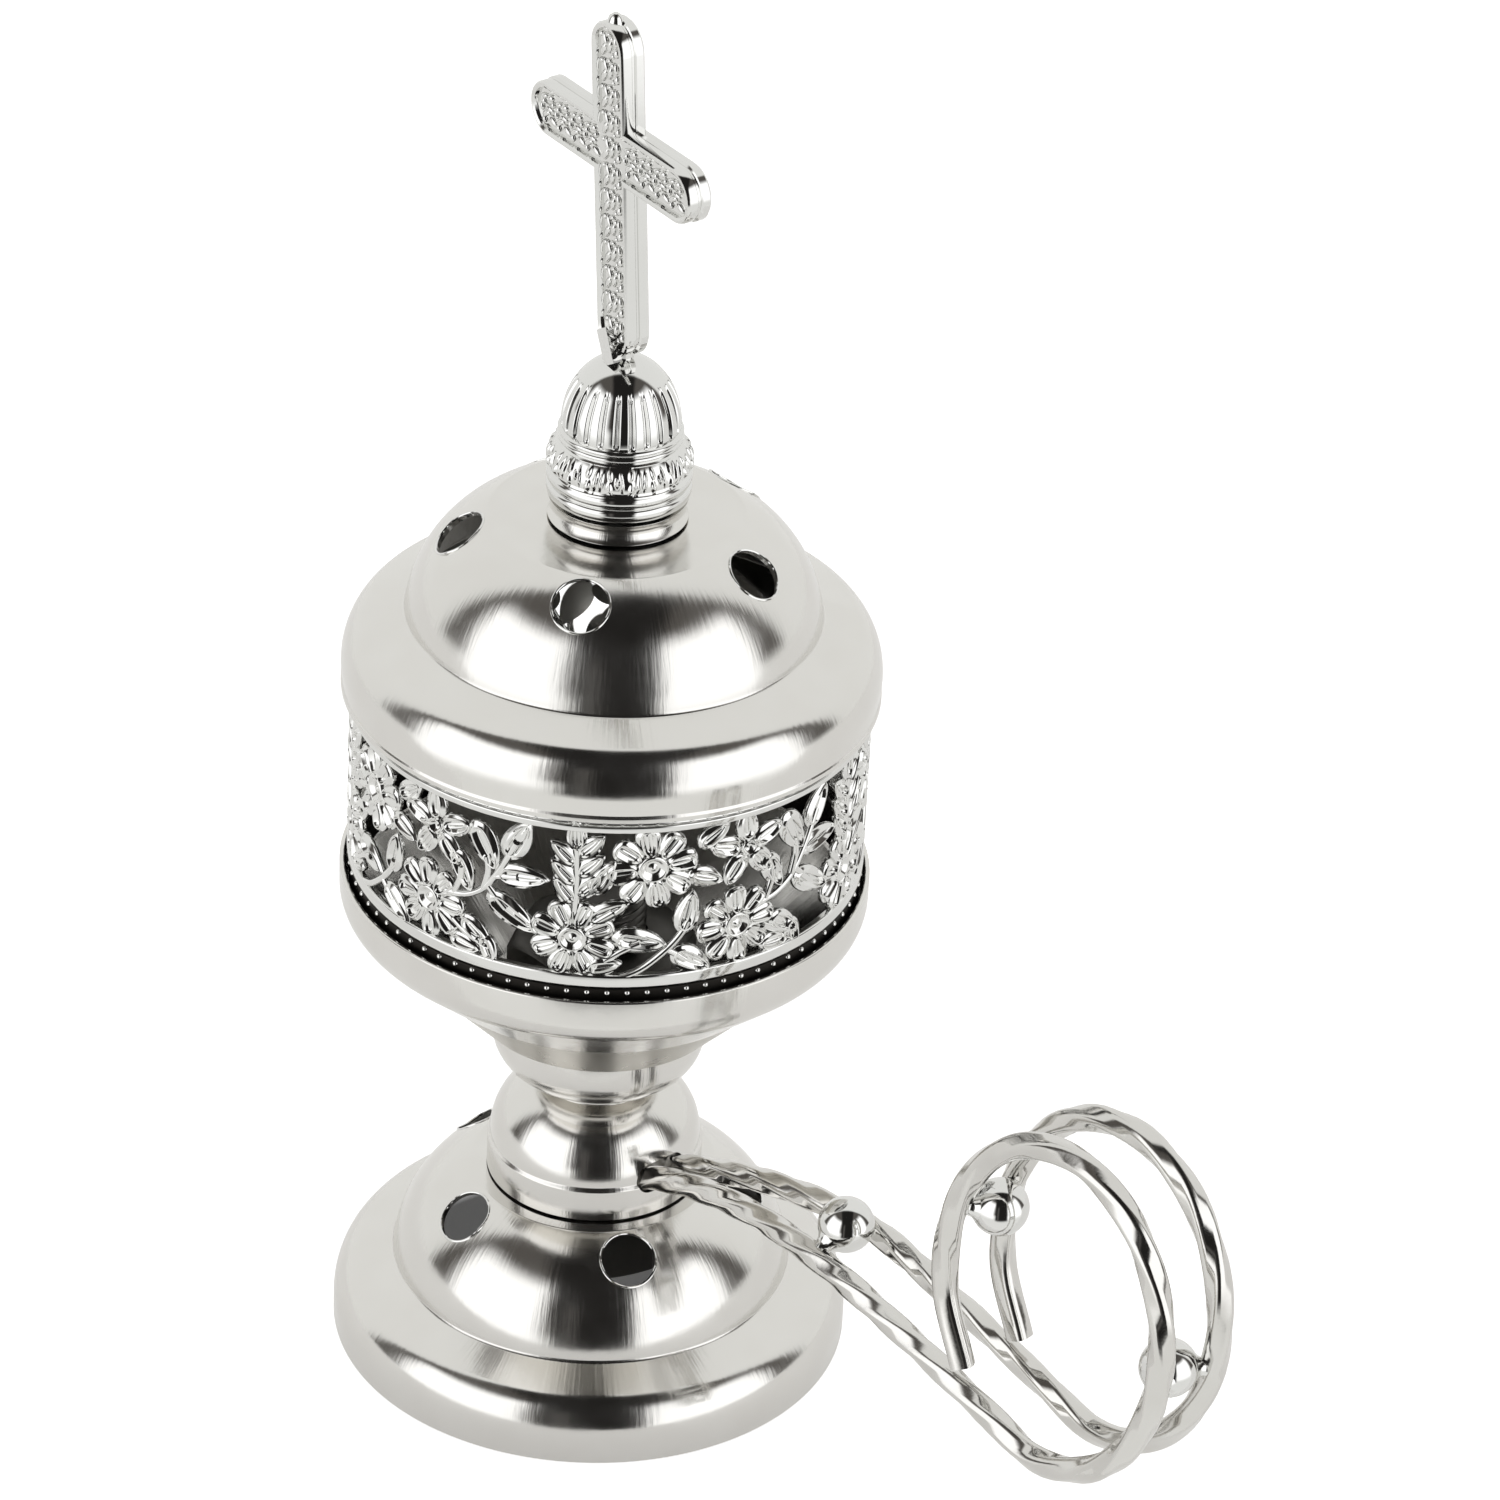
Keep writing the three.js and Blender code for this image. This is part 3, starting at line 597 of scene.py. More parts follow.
DOME_START = math.radians(90 - DOME_FOOT_TILT)
DOME_CENTRE = (
    DOME_FOOT[0] - DOME_ROUND * math.cos(DOME_START),
    DOME_FOOT[1] - DOME_ROUND * math.sin(DOME_START),
)
DOME_ARC = arc(DOME_CENTRE, DOME_ROUND, 90 - DOME_FOOT_TILT, 90 - DOME_TOP_TILT, 40)
PLATFORM_HEIGHT = DOME_ARC[-1][1]


def dome_height(radius):
    """Height of the round of the dome at a radius."""
    return DOME_CENTRE[1] + math.sqrt(max(DOME_ROUND**2 - (radius - DOME_CENTRE[0]) ** 2, 0))


def pressing_profile(edge, hole_radius):
    """Closed profile of the sheet. edge is the part of the outline below the rim's wall."""
    rim = quarter_ellipse((RIM_RADIUS, RIM_WALL), SHOULDER, 24, RIM_STOP)
    outer = finished([*edge, *rim, CREASE, *DOME_ARC[:-6]], BRIGHT)
    top = finished([*DOME_ARC[-6:], (hole_radius, PLATFORM_HEIGHT)], BRIGHT)
    outline = [*filleted(outer, PRESSING_EASE), *filleted([outer[-1], *top], PLATFORM_EASE)[1:]]
    return filleted(sheet_profile(outline, SHEET, INSIDE), PRESSING_INNER_EASE)


def vent_drills(first_turn, base):
    """One drill for each vent, square to the same slope, as a centre, a direction and two level axes."""
    tilt = math.radians(VENT_TILT)
    drills = []
    for i in range(VENT_COUNT):
        turn = math.radians(first_turn + 360 * i / VENT_COUNT)
        outward = Vector((math.cos(turn), math.sin(turn), 0))
        level = Vector((-math.sin(turn), math.cos(turn), 0))
        along = outward * math.cos(tilt) + Vector((0, 0, math.sin(tilt)))
        middle = Vector((AXIS_X, 0, base + dome_height(VENT_REACH))) + outward * VENT_REACH
        drills.append((middle, along, level, level.cross(along)))
    return drills


def vent_cutter(drills):
    """A round bar along each drill, from inside the sheet to outside it."""
    bars = []
    for middle, along, _, _ in drills:
        ends = [middle + DRILL_START * along, middle + DRILL_END * along]
        bars.append(swept(ends, VENT_RADIUS, False, VENT_SIDES))
    return joined(bars)


def vent_edge(drill, base):
    """The punch leaves a thin bright burr all round a vent: the ring where the drill leaves the dome."""
    middle, along, level, upright = drill
    points = []
    for i in range(VENT_SIDES):
        angle = 2 * math.pi * i / VENT_SIDES
        start = middle + VENT_RADIUS * (math.cos(angle) * level + math.sin(angle) * upright)
        low, high = -DRILL_END, DRILL_END
        for _ in range(DRILL_HALVINGS):
            reach = (low + high) / 2
            point = start + along * reach
            radius = math.hypot(point.x - AXIS_X, point.y)
            if point.z > base + dome_height(radius):
                high = reach
            else:
                low = reach
        wander = 0.05 * math.sin(3 * angle + middle.x) + 0.04 * math.sin(5 * angle + middle.y)
        points.append(start + along * (low + wander))
    return swept(points, BURR, True, 8)


def pressing(names, body, node, edge, hole_radius, vent_turn, base):
    """One pressed sheet with its punched vents. names are those of the sheet and of the vents' burrs."""
    drills = vent_drills(vent_turn, base)
    sheet = turned(pressing_profile(edge, hole_radius), LARGE_SIDES, base)
    piece(names[0], sheet, body, SHELL_FINISHES, [node], [vent_cutter(drills)])
    burrs = joined([vent_edge(drill, base) for drill in drills])
    piece(names[1], burrs, body, [CHROME], [node])


def foot():
    edge = [(RIM_RADIUS - FOOT_LIP, 0.0), (RIM_RADIUS, 0.0)]
    pressing(("foot", "foot_vent_burrs"), "stand", "base_shell", edge, ROD_HOLE, FOOT_VENT_TURN, 0.0)


def lid_dome():
    base = heights("lid_shell")[0]
    pressing(("lid_dome", "lid_vent_burrs"), "lid", "lid_shell", LID_EDGE, LID_HOLE, LID_VENT_TURN, base)


# Rod and nuts

def tie_rod():
    """Rod with a fine rolled thread: one helical groove from end to end."""
    low, high = heights("tie_rod")
    rows = round((high - low) / ROD_PITCH * THREAD_ROWS)
    verts = []
    for row in range(rows + 1):
        height = low + (high - low) * row / rows
        chamfer = max(0.0, ROD_CHAMFER - min(height - low, high - height))
        for side in range(ROD_SIDES):
            turn = side / ROD_SIDES
            phase = (height / ROD_PITCH - turn) % 1.0
            sunk = THREAD_DEPTH * (1 - abs(2 * phase - 1)) ** THREAD_SHAPE
            verts.append(about_axis(ROD_RADIUS - sunk - chamfer, 2 * math.pi * turn, height))
    rod = one_finish(verts, capped_faces(rows + 1, ROD_SIDES))
    piece("threaded_rod", rod, "stand", [STEEL], ["tie_rod"])


def hex_nut(node):
    """Hexagon nut whose corners are turned off to a cone above and below."""
    low, high = heights(node)
    half_flat = NUT_ACROSS_FLATS / 2
    land = NUT_LAND * half_flat
    slope = math.tan(math.radians(NUT_CHAMFER))
    verts = []
    for side in range(NUT_SIDES):
        angle = 360 * side / NUT_SIDES
        reach = half_flat / math.cos(math.radians(angle % 60 - 30))
        drop = (reach - land) * slope
        outside = [(land, high), (reach, high - drop), (reach, low + drop), (land, low)]
        outline = [(ROD_HOLE, low), (ROD_HOLE, high), *outside]
        verts.extend(about_axis(r, math.radians(angle), z) for r, z in outline)
    nut = one_finish(verts, column_faces(NUT_SIDES, len(outline)))
    piece(node + "_chamfered", nut, "stand", [STEEL], [node])


# Knop, cup and bowl

def knop():
    """Spun hollow knop with one slot in its side, where the two wires go in."""
    low, high = heights("knop")
    crease = low + KNOP_SKIRT_HEIGHT
    stop = math.degrees(math.acos((KNOP_NECK - KNOP_CROWN) / (KNOP_DOME_RADIUS - KNOP_CROWN)))
    outline = [
        (KNOP_SKIRT_RADIUS, low),
        (KNOP_SKIRT_RADIUS, crease - KNOP_SKIRT_EDGE),
        (KNOP_DOME_RADIUS, crease - KNOP_DOME_EDGE),
        *quarter_ellipse((KNOP_DOME_RADIUS, crease), (KNOP_CROWN, high), 50, stop),
        (KNOP_NECK, high),
        (ROD_HOLE, high),
    ]
    shape = turned(spun_profile(finished(outline, BRIGHT), KNOP_EASE), SMALL_SIDES)
    start = wire_point(0, 0.0)
    heading = (wire_point(0, 0.01) - start).normalized()
    sideways = Vector((0, WIRE_START_SPREAD, 0))
    ends = [start - WIRE_SLOT_BACK * heading, start + WIRE_SLOT_AHEAD * heading]
    holes = [swept([end + side * sideways for end in ends], WIRE_SLOT, False, 32) for side in (-1, 1)]
    across = heading.cross(Vector((0, 1, 0))) * WIRE_SLOT
    corners = [end + side * sideways + up * across for end in ends for side, up in BOX_END]
    slot = one_finish(corners, BOX_FACES)
    piece("knop_shell", shape, "stand", SHELL_FINISHES, ["knop"], [*holes, slot])


def stem_cup():
    low, high = heights("stem_cup")
    centre = (CUP_RADIUS - CUP_ROUND, low + CUP_ROUND_HEIGHT)
    outline = [
        *finished([(ROD_HOLE, low), (CUP_FOOT_RADIUS, low)], SOFT),
        *finished([*arc(centre, CUP_ROUND, CUP_FLARE, 0, 24), (CUP_RADIUS, high)], BRIGHT),
    ]
    shape = turned(spun_profile(outline, CUP_EASE), SMALL_SIDES)
    piece("stem_cup_shell", shape, "stand", SHELL_FINISHES, ["stem_cup"])


def bowl():
    low, high = heights("bowl")
    slope = math.radians(BOWL_FLANK_TILT)
    across = BOWL_RADIUS - BOWL_ROUND - BOWL_CREASE[0]
    middle = low + BOWL_CREASE[1] + (BOWL_ROUND + across * math.sin(slope)) / math.cos(slope)
    round_of_wall = arc((BOWL_RADIUS - BOWL_ROUND, middle), BOWL_ROUND, BOWL_FLANK_TILT - 90, 0, 20)
    under = (BOWL_UNDER[0], low + BOWL_UNDER[1])
    outline = [
        *finished([(ROD_HOLE, low), (BOWL_FLOOR_RADIUS, low), under], SOFT),
        *finished([(BOWL_CREASE[0], low + BOWL_CREASE[1]), *round_of_wall, (BOWL_RADIUS, high)], BRIGHT),
    ]
    shape = turned(spun_profile(outline, BOWL_EASE, BOWL_INNER_EASE, BRIGHT), LARGE_SIDES)
    piece("bowl_shell", shape, "stand", SHELL_FINISHES, ["bowl"])


# Handle

def wire_spread(reach):
    """How far each wire stands from the middle plane at a reach from the axis."""
    share = eased(reach, KNOP_SKIRT_RADIUS, WIRE_SPREAD_REACH)
    return WIRE_START_SPREAD + (WIRE_SPREAD - WIRE_START_SPREAD) * share


def wire_knots():
    """The points that the wires pass through: along the shank, then round the scroll."""
    knots = list(SHANK_ROUTE)
    for i in range(LOOP_POINTS):
        angle = math.radians(LOOP_START + (LOOP_END - LOOP_START) * i / (LOOP_POINTS - 1))
        rise = LOOP_HALF_HEIGHT * math.sin(angle)
        reach = LOOP_CENTRE[0] + LOOP_HALF_WIDTH * math.cos(angle) + LOOP_LEAN * rise
        knots.append((reach, LOOP_CENTRE[1] + rise))
    return knots


def wire_curve(side):
    """A smooth curve through the knots, densely sampled, with its length at each sample."""
    base = heights("knop")[0]
    knots = [Vector((AXIS_X + r, side * wire_spread(r), base + z)) for r, z in wire_knots()]
    knots = [2 * knots[0] - knots[1], *knots, 2 * knots[-1] - knots[-2]]
    points = []
    for a, b, c, d in zip(knots, knots[1:], knots[2:], knots[3:]):
        gaps = [math.sqrt((q - p).length) for p, q in ((a, b), (b, c), (c, d))]
        leave = ((b - a) / gaps[0] - (c - a) / (gaps[0] + gaps[1]) + (c - b) / gaps[1]) * gaps[1]
        reach = ((c - b) / gaps[1] - (d - b) / (gaps[1] + gaps[2]) + (d - c) / gaps[2]) * gaps[1]
        cubic = 2 * b - 2 * c + leave + reach
        square = 3 * c - 3 * b - 2 * leave - reach
        for i in range(SPAN_STEPS):
            t = i / SPAN_STEPS
            points.append(b + leave * t + square * t * t + cubic * t**3)
    points.append(knots[-2])
    lengths = [0.0]
    for before, after in zip(points, points[1:]):
        lengths.append(lengths[-1] + (after - before).length)
    return points, lengths


WIRE_CURVES = {side: wire_curve(side) for side in (-1, 0, 1)}


def wire_point(side, share):
    """Point of a wire at a share of its length."""
    points, lengths = WIRE_CURVES[side]
    wanted = share * lengths[-1]
    last = max(bisect.bisect_left(lengths, wanted - 1e-9), 1)
    span = lengths[last] - lengths[last - 1]
    return points[last - 1].lerp(points[last], (wanted - lengths[last - 1]) / span)


def bar_section():
    """Section of the square bar, its corners rounded as drawn."""
    reach = math.sqrt(2) * (WIRE_SIDE / 2 - WIRE_CORNER)
    section = []
    for start in (0, 90, 180, 270):
        section.extend(arc(swung((0, 0), reach, 0, start + 45), WIRE_CORNER, start, start + 90, 4))
    return section


def twisted_wire(side, name, node):
    """Square bar twisted tightly along the shank and more openly round the scroll, its ends left square."""
    section = bar_section()
    length = WIRE_CURVES[side][1][-1]
    verts = []
    twist = math.radians(WIRE_FIRST_TWIST)
    for i in range(WIRE_STEPS + 1):
        share = i / WIRE_STEPS
        centre = wire_point(side, share)
        ahead = wire_point(side, min(share + 0.5 / WIRE_STEPS, 1.0))
        behind = wire_point(side, max(share - 0.5 / WIRE_STEPS, 0.0))
        along = (ahead - behind).normalized()
        across = (Vector((0, 1, 0)) - along * along.y).normalized()
        up = along.cross(across)
        run = share * length
        shank = 1 - eased(run, SHANK_TWIST_END - TWIST_BLEND, SHANK_TWIST_END + TWIST_BLEND)
        rate = shank / SHANK_TWIST_PITCH + (1 - shank) / LOOP_TWIST_PITCH
        rate *= 1 - eased(run, length - TWIST_STOP[0], length - TWIST_STOP[1])
        twist += side * 2 * math.pi * rate * length / WIRE_STEPS
        turn = complex(math.cos(twist), math.sin(twist))
        for x, y in section:
            spot = complex(x, y) * turn
            verts.append(centre + across * spot.real + up * spot.imag)
    wire = one_finish(verts, capped_faces(WIRE_STEPS + 1, len(section)))
    piece(name, wire, "stand", [TWISTED], [node], crease_angle=BAR_CREASE)


def ball(centre, radius, sides=48):
    """A polished ball."""
    verts = []
    for side in range(sides):
        angle = 2 * math.pi * side / sides
        for across, up in arc((0, 0), radius, -90, 90, sides):
            verts.append(Vector(centre) + Vector((across * math.cos(angle), across * math.sin(angle), up)))
    return one_finish(verts, column_faces(sides, sides + 1, False))


def bead(number):
    """A ball soldered to both wires, each joint a small waisted neck of solder."""
    node = f"handle_bead_{number}"
    centre = sum(BOXES[node], Vector()) / 2
    parts = [ball(centre, BEAD_RADIUS)]
    for side in (-1, 1):
        wire = min(WIRE_CURVES[side][0], key=lambda point: (point - centre).length)
        toward = (wire - centre).normalized()
        start = centre + toward * (BEAD_RADIUS - SOLDER_SINK)
        end = wire - toward * SOLDER_SINK_IN_WIRE
        last = len(SOLDER_RADII) - 1
        route = [start.lerp(end, i / last) for i in range(last + 1)]
        parts.append(swept(route, SOLDER_RADII, False, 24))
    chromed(f"soldered_bead_{number}", joined(parts), "stand", node, BAR_CREASE)


# Gallery. A place on the flat strip is (degrees round the band, millimetres over the band's foot)

GALLERY_MIDDLE = GALLERY_RADIUS - GALLERY_WALL / 2
DEGREE = math.radians(1) * GALLERY_MIDDLE

# Daisies and blossoms: petals, reach of a petal, half its width, reach of the middle, place, first turn
FLOWERS = [
    (8, 5.1, 1.72, 1.75, (0.0, 15.1), 10),
    (8, 4.9, 1.62, 1.65, (-17.0, 6.0), 24),
    (8, 4.9, 1.62, 1.65, (20.0, 6.2), 4),
    (5, 4.9, 1.5, 1.0, (22.0, 15.8), 22),
]

# Leaves: length, half the width, middle, turn of the leaf
LEAVES = [
    (6.4, 1.6, (-2.3, 5.8), -12),
    (5.6, 1.5, (8.2, 9.1), 78),
    (5.6, 1.6, (9.4, 2.8), -33),
    (5.4, 1.45, (29.2, 11.6), -65),
    (6.4, 1.75, (34.7, 15.6), -62),
    (5.8, 1.65, (42.4, 17.4), 62),
    (6.4, 1.5, (43.6, 12.8), 4),
    (7.2, 1.6, (41.4, 7.9), -32),
    (5.2, 1.4, (33.0, 4.2), -38),
    (4.2, 1.2, (30.2, 2.3), -8),
    (4.2, 1.15, (36.0, 2.4), -72),
    (5.4, 1.35, (-9.4, 9.6), 28),
    (5.0, 1.4, (-10.6, 14.0), 60),
    (4.6, 1.3, (12.0, 13.2), -20),
    (4.4, 1.3, (13.6, 18.4), 35),
    (4.2, 1.2, (-10.0, 2.6), 12),
]

# An ear of small leaves up one stalk: height on the strip, turn of the leaf
EAR_TURN = -16.4
EAR_LEAF = (4.2, 1.2)
EAR = [(10.4, 128), (11.4, 48), (12.8, 134), (13.9, 44), (15.3, 136), (16.3, 46), (17.2, 94)]

# Stems: the places that each one passes through
STEMS = [
    [(-8.0, 0.9), (-2.0, 2.2), (3.7, 4.6), (7.0, 6.6), (8.2, 8.0)],
    [(3.7, 4.6), (6.0, 3.8), (8.0, 3.0)],
    [(-9.8, 3.4), (-6.0, 4.7), (-2.3, 5.6)],
    [(25.0, 8.2), (30.0, 8.7), (34.5, 10.2), (38.0, 12.8), (40.4, 15.2), (42.0, 17.0)],
    [(35.5, 10.8), (38.0, 9.4), (40.0, 8.4)],
    [(37.4, 12.2), (40.0, 12.5), (42.4, 12.7)],
    [(34.5, 10.2), (35.6, 12.6), (35.2, 14.4)],
    [(27.2, 8.5), (28.6, 10.4), (28.9, 12.0)],
    [(27.0, 5.0), (30.0, 4.0), (33.0, 3.4)],
    [(-16.6, 9.6), (-16.3, 13.0), (-16.6, 17.4)],
    [(-12.8, 8.0), (-10.6, 8.8), (-8.4, 9.6)],
]

# Relief of a petal or leaf from its rim to its middle line: share of the way in, height over the sheet
LEAF_RIM = [(0, 0.0), (0, 0.3), (0.08, 0.5), (0.28, 0.54), (0.4, 0.79), (0.54, 0.77)]
LEAF_RELIEF = [*LEAF_RIM, (0.68, 0.34), (0.86, 0.28), (1, 0.4)]
LEAF_STEPS = 14

# Petals start inside the middle's edge, and those of a daisy, which has eight, end blunter
PETAL_ROOT = 0.8
DAISY_BLUNT = 1.0
BLOSSOM_BLUNT = 0.3

# Relief of a flower's middle, a ring round a pit with a small cone in it: share of its reach, height
MIDDLE_RING = [(1.0, 0.0), (1.0, 0.45), (0.93, 0.72), (0.82, 0.8), (0.7, 0.7), (0.56, 0.3)]
MIDDLE_RELIEF = [*MIDDLE_RING, (0.3, 0.22), (0.1, 0.5), (0.0, 0.56)]


def bend_out(flat, turn):
    """Takes a point of the flat strip, (along, up, out) in millimetres, to the turned band."""
    along, up, out = flat
    angle = math.radians(GALLERY_TURN + turn) + along / GALLERY_MIDDLE
    radius = GALLERY_RADIUS - GALLERY_WALL + out
    return about_axis(radius, angle, heights("gallery_band")[0] + up)


def leaf_outline(length, half_width, blunt):
    """Outline of a leaf along its own middle line, from root to tip and back. blunt is 0 for a point."""
    side = []
    for i in range(LEAF_STEPS + 1):
        share = (1 - math.cos(math.pi * i / LEAF_STEPS)) / 2
        pointed = share**0.55 * max(1 - share, 0) ** 0.85 / 0.39
        round_tip = max(1 - abs(2 * share - 1) ** 2.3, 0) ** (1 / 2.3) * (0.6 + 0.42 * share)
        side.append((share * length, half_width * (pointed + (round_tip - pointed) * blunt)))
    return side + [(x, -y) for x, y in reversed(side[1:-1])]


def embossed_leaf(root, turn, length, half_width, blunt=0.0):
    """Raised rim, sunk ground and a rib along the middle, like each leaf and petal of the stamping."""
    outline = leaf_outline(length, half_width, blunt)
    rings = []
    for share, height in LEAF_RELIEF:
        ring = []
        for x, y in outline:
            middle = min(max(x, 0.24 * length), 0.8 * length)
            ring.append((*swung(root, x + (middle - x) * share, y * (1 - share), turn), height))
        rings.append(ring)
    return lofted(rings)


def embossed_middle(centre, reach):
    """Middle of a flower: a raised ring round a pit with a small cone in it."""
    rings = []
    for share, height in MIDDLE_RELIEF:
        rings.append([(*swung(centre, share * reach, 0, 15 * i), height) for i in range(24)])
    return lofted(rings)


def strip_point(place):
    """A place in degrees and millimetres as plain millimetres on the flat strip."""
    return place[0] * DEGREE, place[1]


def flower_parts(petals, reach, half_width, middle, place, first_turn):
    centre = strip_point(place)
    parts = [embossed_middle(centre, middle)]
    blunt = DAISY_BLUNT if petals == 8 else BLOSSOM_BLUNT
    start = PETAL_ROOT * middle
    for i in range(petals):
        turn = first_turn + 360 * i / petals
        root = swung(centre, start, 0, turn)
        parts.append(embossed_leaf(root, turn, reach - start, half_width, blunt))
    return parts


def leaf_part(length, half_width, place, turn):
    return embossed_leaf(swung(strip_point(place), -length / 2, 0, turn), turn, length, half_width)


def stem_part(places):
    """A raised round stem through its places, which follow a smooth line."""
    points = [Vector((*strip_point(place), STEM_HEIGHT)) for place in places]
    smooth = []
    for i in range(len(points) - 1):
        a, b = points[max(i - 1, 0)], points[i]
        c, d = points[i + 1], points[min(i + 2, len(points) - 1)]
        for step in range(5):
            t = step / 5
            bend = (2 * a - 5 * b + 4 * c - d) * t * t + (3 * b - a - 3 * c + d) * t**3
            smooth.append(b + (c - a) * (t / 2) + bend / 2)
    smooth.append(points[-1])
    verts, faces, finishes = swept(smooth, STEM_RADIUS, False, 10)
    return [(v[0], v[1], max(v[2], 0.0)) for v in verts], faces, finishes


def gallery():
    """All repeats of the floral stamping, which stand between two smooth rails."""
    parts = []
    for flower in FLOWERS:
        parts.extend(flower_parts(*flower))
    parts.extend(leaf_part(*leaf) for leaf in LEAVES)
    for height, turn in EAR:
        parts.append(embossed_leaf(strip_point((EAR_TURN, height)), turn, *EAR_LEAF))
    parts.extend(stem_part(places) for places in STEMS)
    verts, faces, finishes = joined(parts)
    repeats = []
    for i in range(GALLERY_REPEATS):
        turn = 360 * i / GALLERY_REPEATS
        repeats.append(([bend_out(v, turn) for v in verts], faces, finishes))
    chromed("gallery_flowers", joined(repeats), "lid", "gallery_band", STAMPED_CREASE)


def gallery_rails():
    """The band's two smooth rails, and the zigzag line pressed into the upper one."""
    low, high = heights("gallery_band")
    outer, inner = GALLERY_RADIUS, GALLERY_RADIUS - GALLERY_WALL
    ledge = outer - RAIL_LEDGE
    bottom = [(inner, low), (outer, low), (outer, low + RAIL_HEIGHT), (inner, low + RAIL_HEIGHT)]
    top_end = heights("lid_shell")[0] - RAIL_TOP_DROP
    top_foot = top_end - RAIL_TOP_HEIGHT
    top = [(inner, top_foot), (outer, top_foot), (outer, top_end), (ledge, top_end + 0.1)]
    bottom_rail = turned(filleted(finished(bottom, 0), RAIL_EASE), LARGE_SIDES)
    top = finished([*top, (ledge, high), (inner, high)], 0)
    top_rail = turned(filleted(top, RAIL_TOP_EASE), LARGE_SIDES)
    chromed("gallery_rails", joined([bottom_rail, top_rail]), "lid", "gallery_band")
    points = []
    for i in range(2 * CRIMP_TEETH):
        height = top_end + CRIMP_HEIGHTS[i % 2]
        points.append(about_axis(outer - CRIMP_INSET, math.pi * i / CRIMP_TEETH, height))
    chromed("gallery_crimps", swept(points, CRIMP_RADIUS, True, 8), "lid", "gallery_band", STAMPED_CREASE)


def seat_ring():
    """The ring below the gallery, with a row of small raised beads round its top edge."""
    low, high = heights("seat_ring")
    outer = BOXES["seat_ring"][1].y
    inner = outer - SEAT_WALL
    profile = [(inner, low), (outer, low), (outer, high), (inner, high)]
    ring = turned(filleted(finished(profile, 0), SEAT_EASE), LARGE_SIDES)
    # The turned ring gets the near-black painted shade of the gap under the gallery
    piece("seat_ring_turned", ring, "lid", [RING_PAINTED_SHADE], ["seat_ring"])
    beads = []
    for i in range(SEAT_BEADS):
        angle = 2 * math.pi * i / SEAT_BEADS
        centre = about_axis(outer - SEAT_BEAD_INSET, angle, high - SEAT_BEAD_DROP)
        beads.append(ball(centre, SEAT_BEAD_RADIUS, 12))
    beading = joined(beads)
    piece("seat_ring_beads", beading, "lid", [CHROME], ["seat_ring"], (), STAMPED_CREASE)


# Collar, finial and cross

def collar():
    low, high = heights("lid_collar")
    waist = []
    for i in range(COLLAR_STEPS + 1):
        share = i / COLLAR_STEPS
        radius = COLLAR_WAIST + (COLLAR_RADIUS - COLLAR_WAIST) * (2 * share - 1) ** 2
        waist.append((radius, low + (high - low) * share))
    outline = [(LID_HOLE, low), *waist, (LID_HOLE, high)]
    profile = filleted(finished(outline, 0), COLLAR_EASE)
    piece("collar_spool", turned(profile, SMALL_SIDES), "lid", [SPUN], ["lid_collar"])


def finial_outline(base):
    """Two base rings, the bulge of the relief band, a double thin ring and the dome, from the bottom up."""
    band = base + FINIAL_RING_HEIGHT
    neck = band + FINIAL_BAND_HEIGHT
    dome = neck + FINIAL_NECK_HEIGHT
    top = heights("finial_cap")[1]
    ring = FINIAL_RING_RADIUS
    lower_ring = [(ring - 0.5, base), (ring - 0.12, base + 0.25), (ring, base + 0.7), (ring, base + 1.25)]
    groove = [(ring - 0.1, base + 1.5), (ring - 0.32, base + 1.62), (ring - 0.32, base + 1.8)]
    upper_ring = [(ring - 0.1, base + 1.95), (ring, base + 2.2), (ring, band - 0.5), (ring - 0.1, band - 0.2)]
    step = [(ring - 0.35, band - 0.05), (ring - 0.35, band + 0.1)]
    bulge = arc((FINIAL_BAND_RADIUS - 3.4, band + 0.9), 3.4, -12, 58, 20)
    double_ring = [
        (FINIAL_NECK_RADIUS - 0.35, neck + 0.02),
        (FINIAL_NECK_RADIUS - 0.05, neck + 0.2),
        (FINIAL_NECK_RADIUS, neck + 0.4),
        (FINIAL_NECK_RADIUS - 0.05, neck + 0.6),
        (FINIAL_NECK_RADIUS - 0.3, neck + 0.72),
        (FINIAL_NECK_RADIUS - 0.1, neck + 0.9),
        (FINIAL_NECK_RADIUS - 0.05, neck + 1.1),
        (FINIAL_NECK_RADIUS - 0.15, neck + 1.3),
        (FINIAL_DOME_RADIUS - 0.2, dome - 0.05),
    ]
    crown = quarter_ellipse((FINIAL_DOME_RADIUS, dome + 0.15), (0.0, top), 60)
    return [*lower_ring, *groove, *upper_ring, *step, *bulge, *double_ring, *crown]


# One repeat of the finial's band: place across and up, half width and half height, all as shares
BAND_SPOTS = [
    (0.14, 0.3, 0.07, 0.2),
    (0.14, 0.72, 0.07, 0.18),
    (0.32, 0.5, 0.06, 0.34),
    (0.46, 0.5, 0.05, 0.3),
    (0.66, 0.3, 0.06, 0.2),
    (0.66, 0.7, 0.05, 0.16),
    (0.82, 0.5, 0.05, 0.14),
    (0.92, 0.5, 0.04, 0.3),
]


def flute_relief(turn, height, dome, top):
    """How far the ground between two flutes lies under them. Each flute ends above in a small arch."""
    across = abs((turn * FLUTE_COUNT) % 1.0 - 0.5) * 2
    share = (height - dome) / (top - dome)
    if share < 0.0 or share > 0.86:
        return 0.0
    flank = 1 - eased(across, 0.5, 0.92)
    arch = 1 - eased(share + 0.1 * across, 0.66, 0.8)
    foot = eased(share, 0.0, 0.05)
    return FLUTE_DEPTH * (1 - flank) * arch * foot


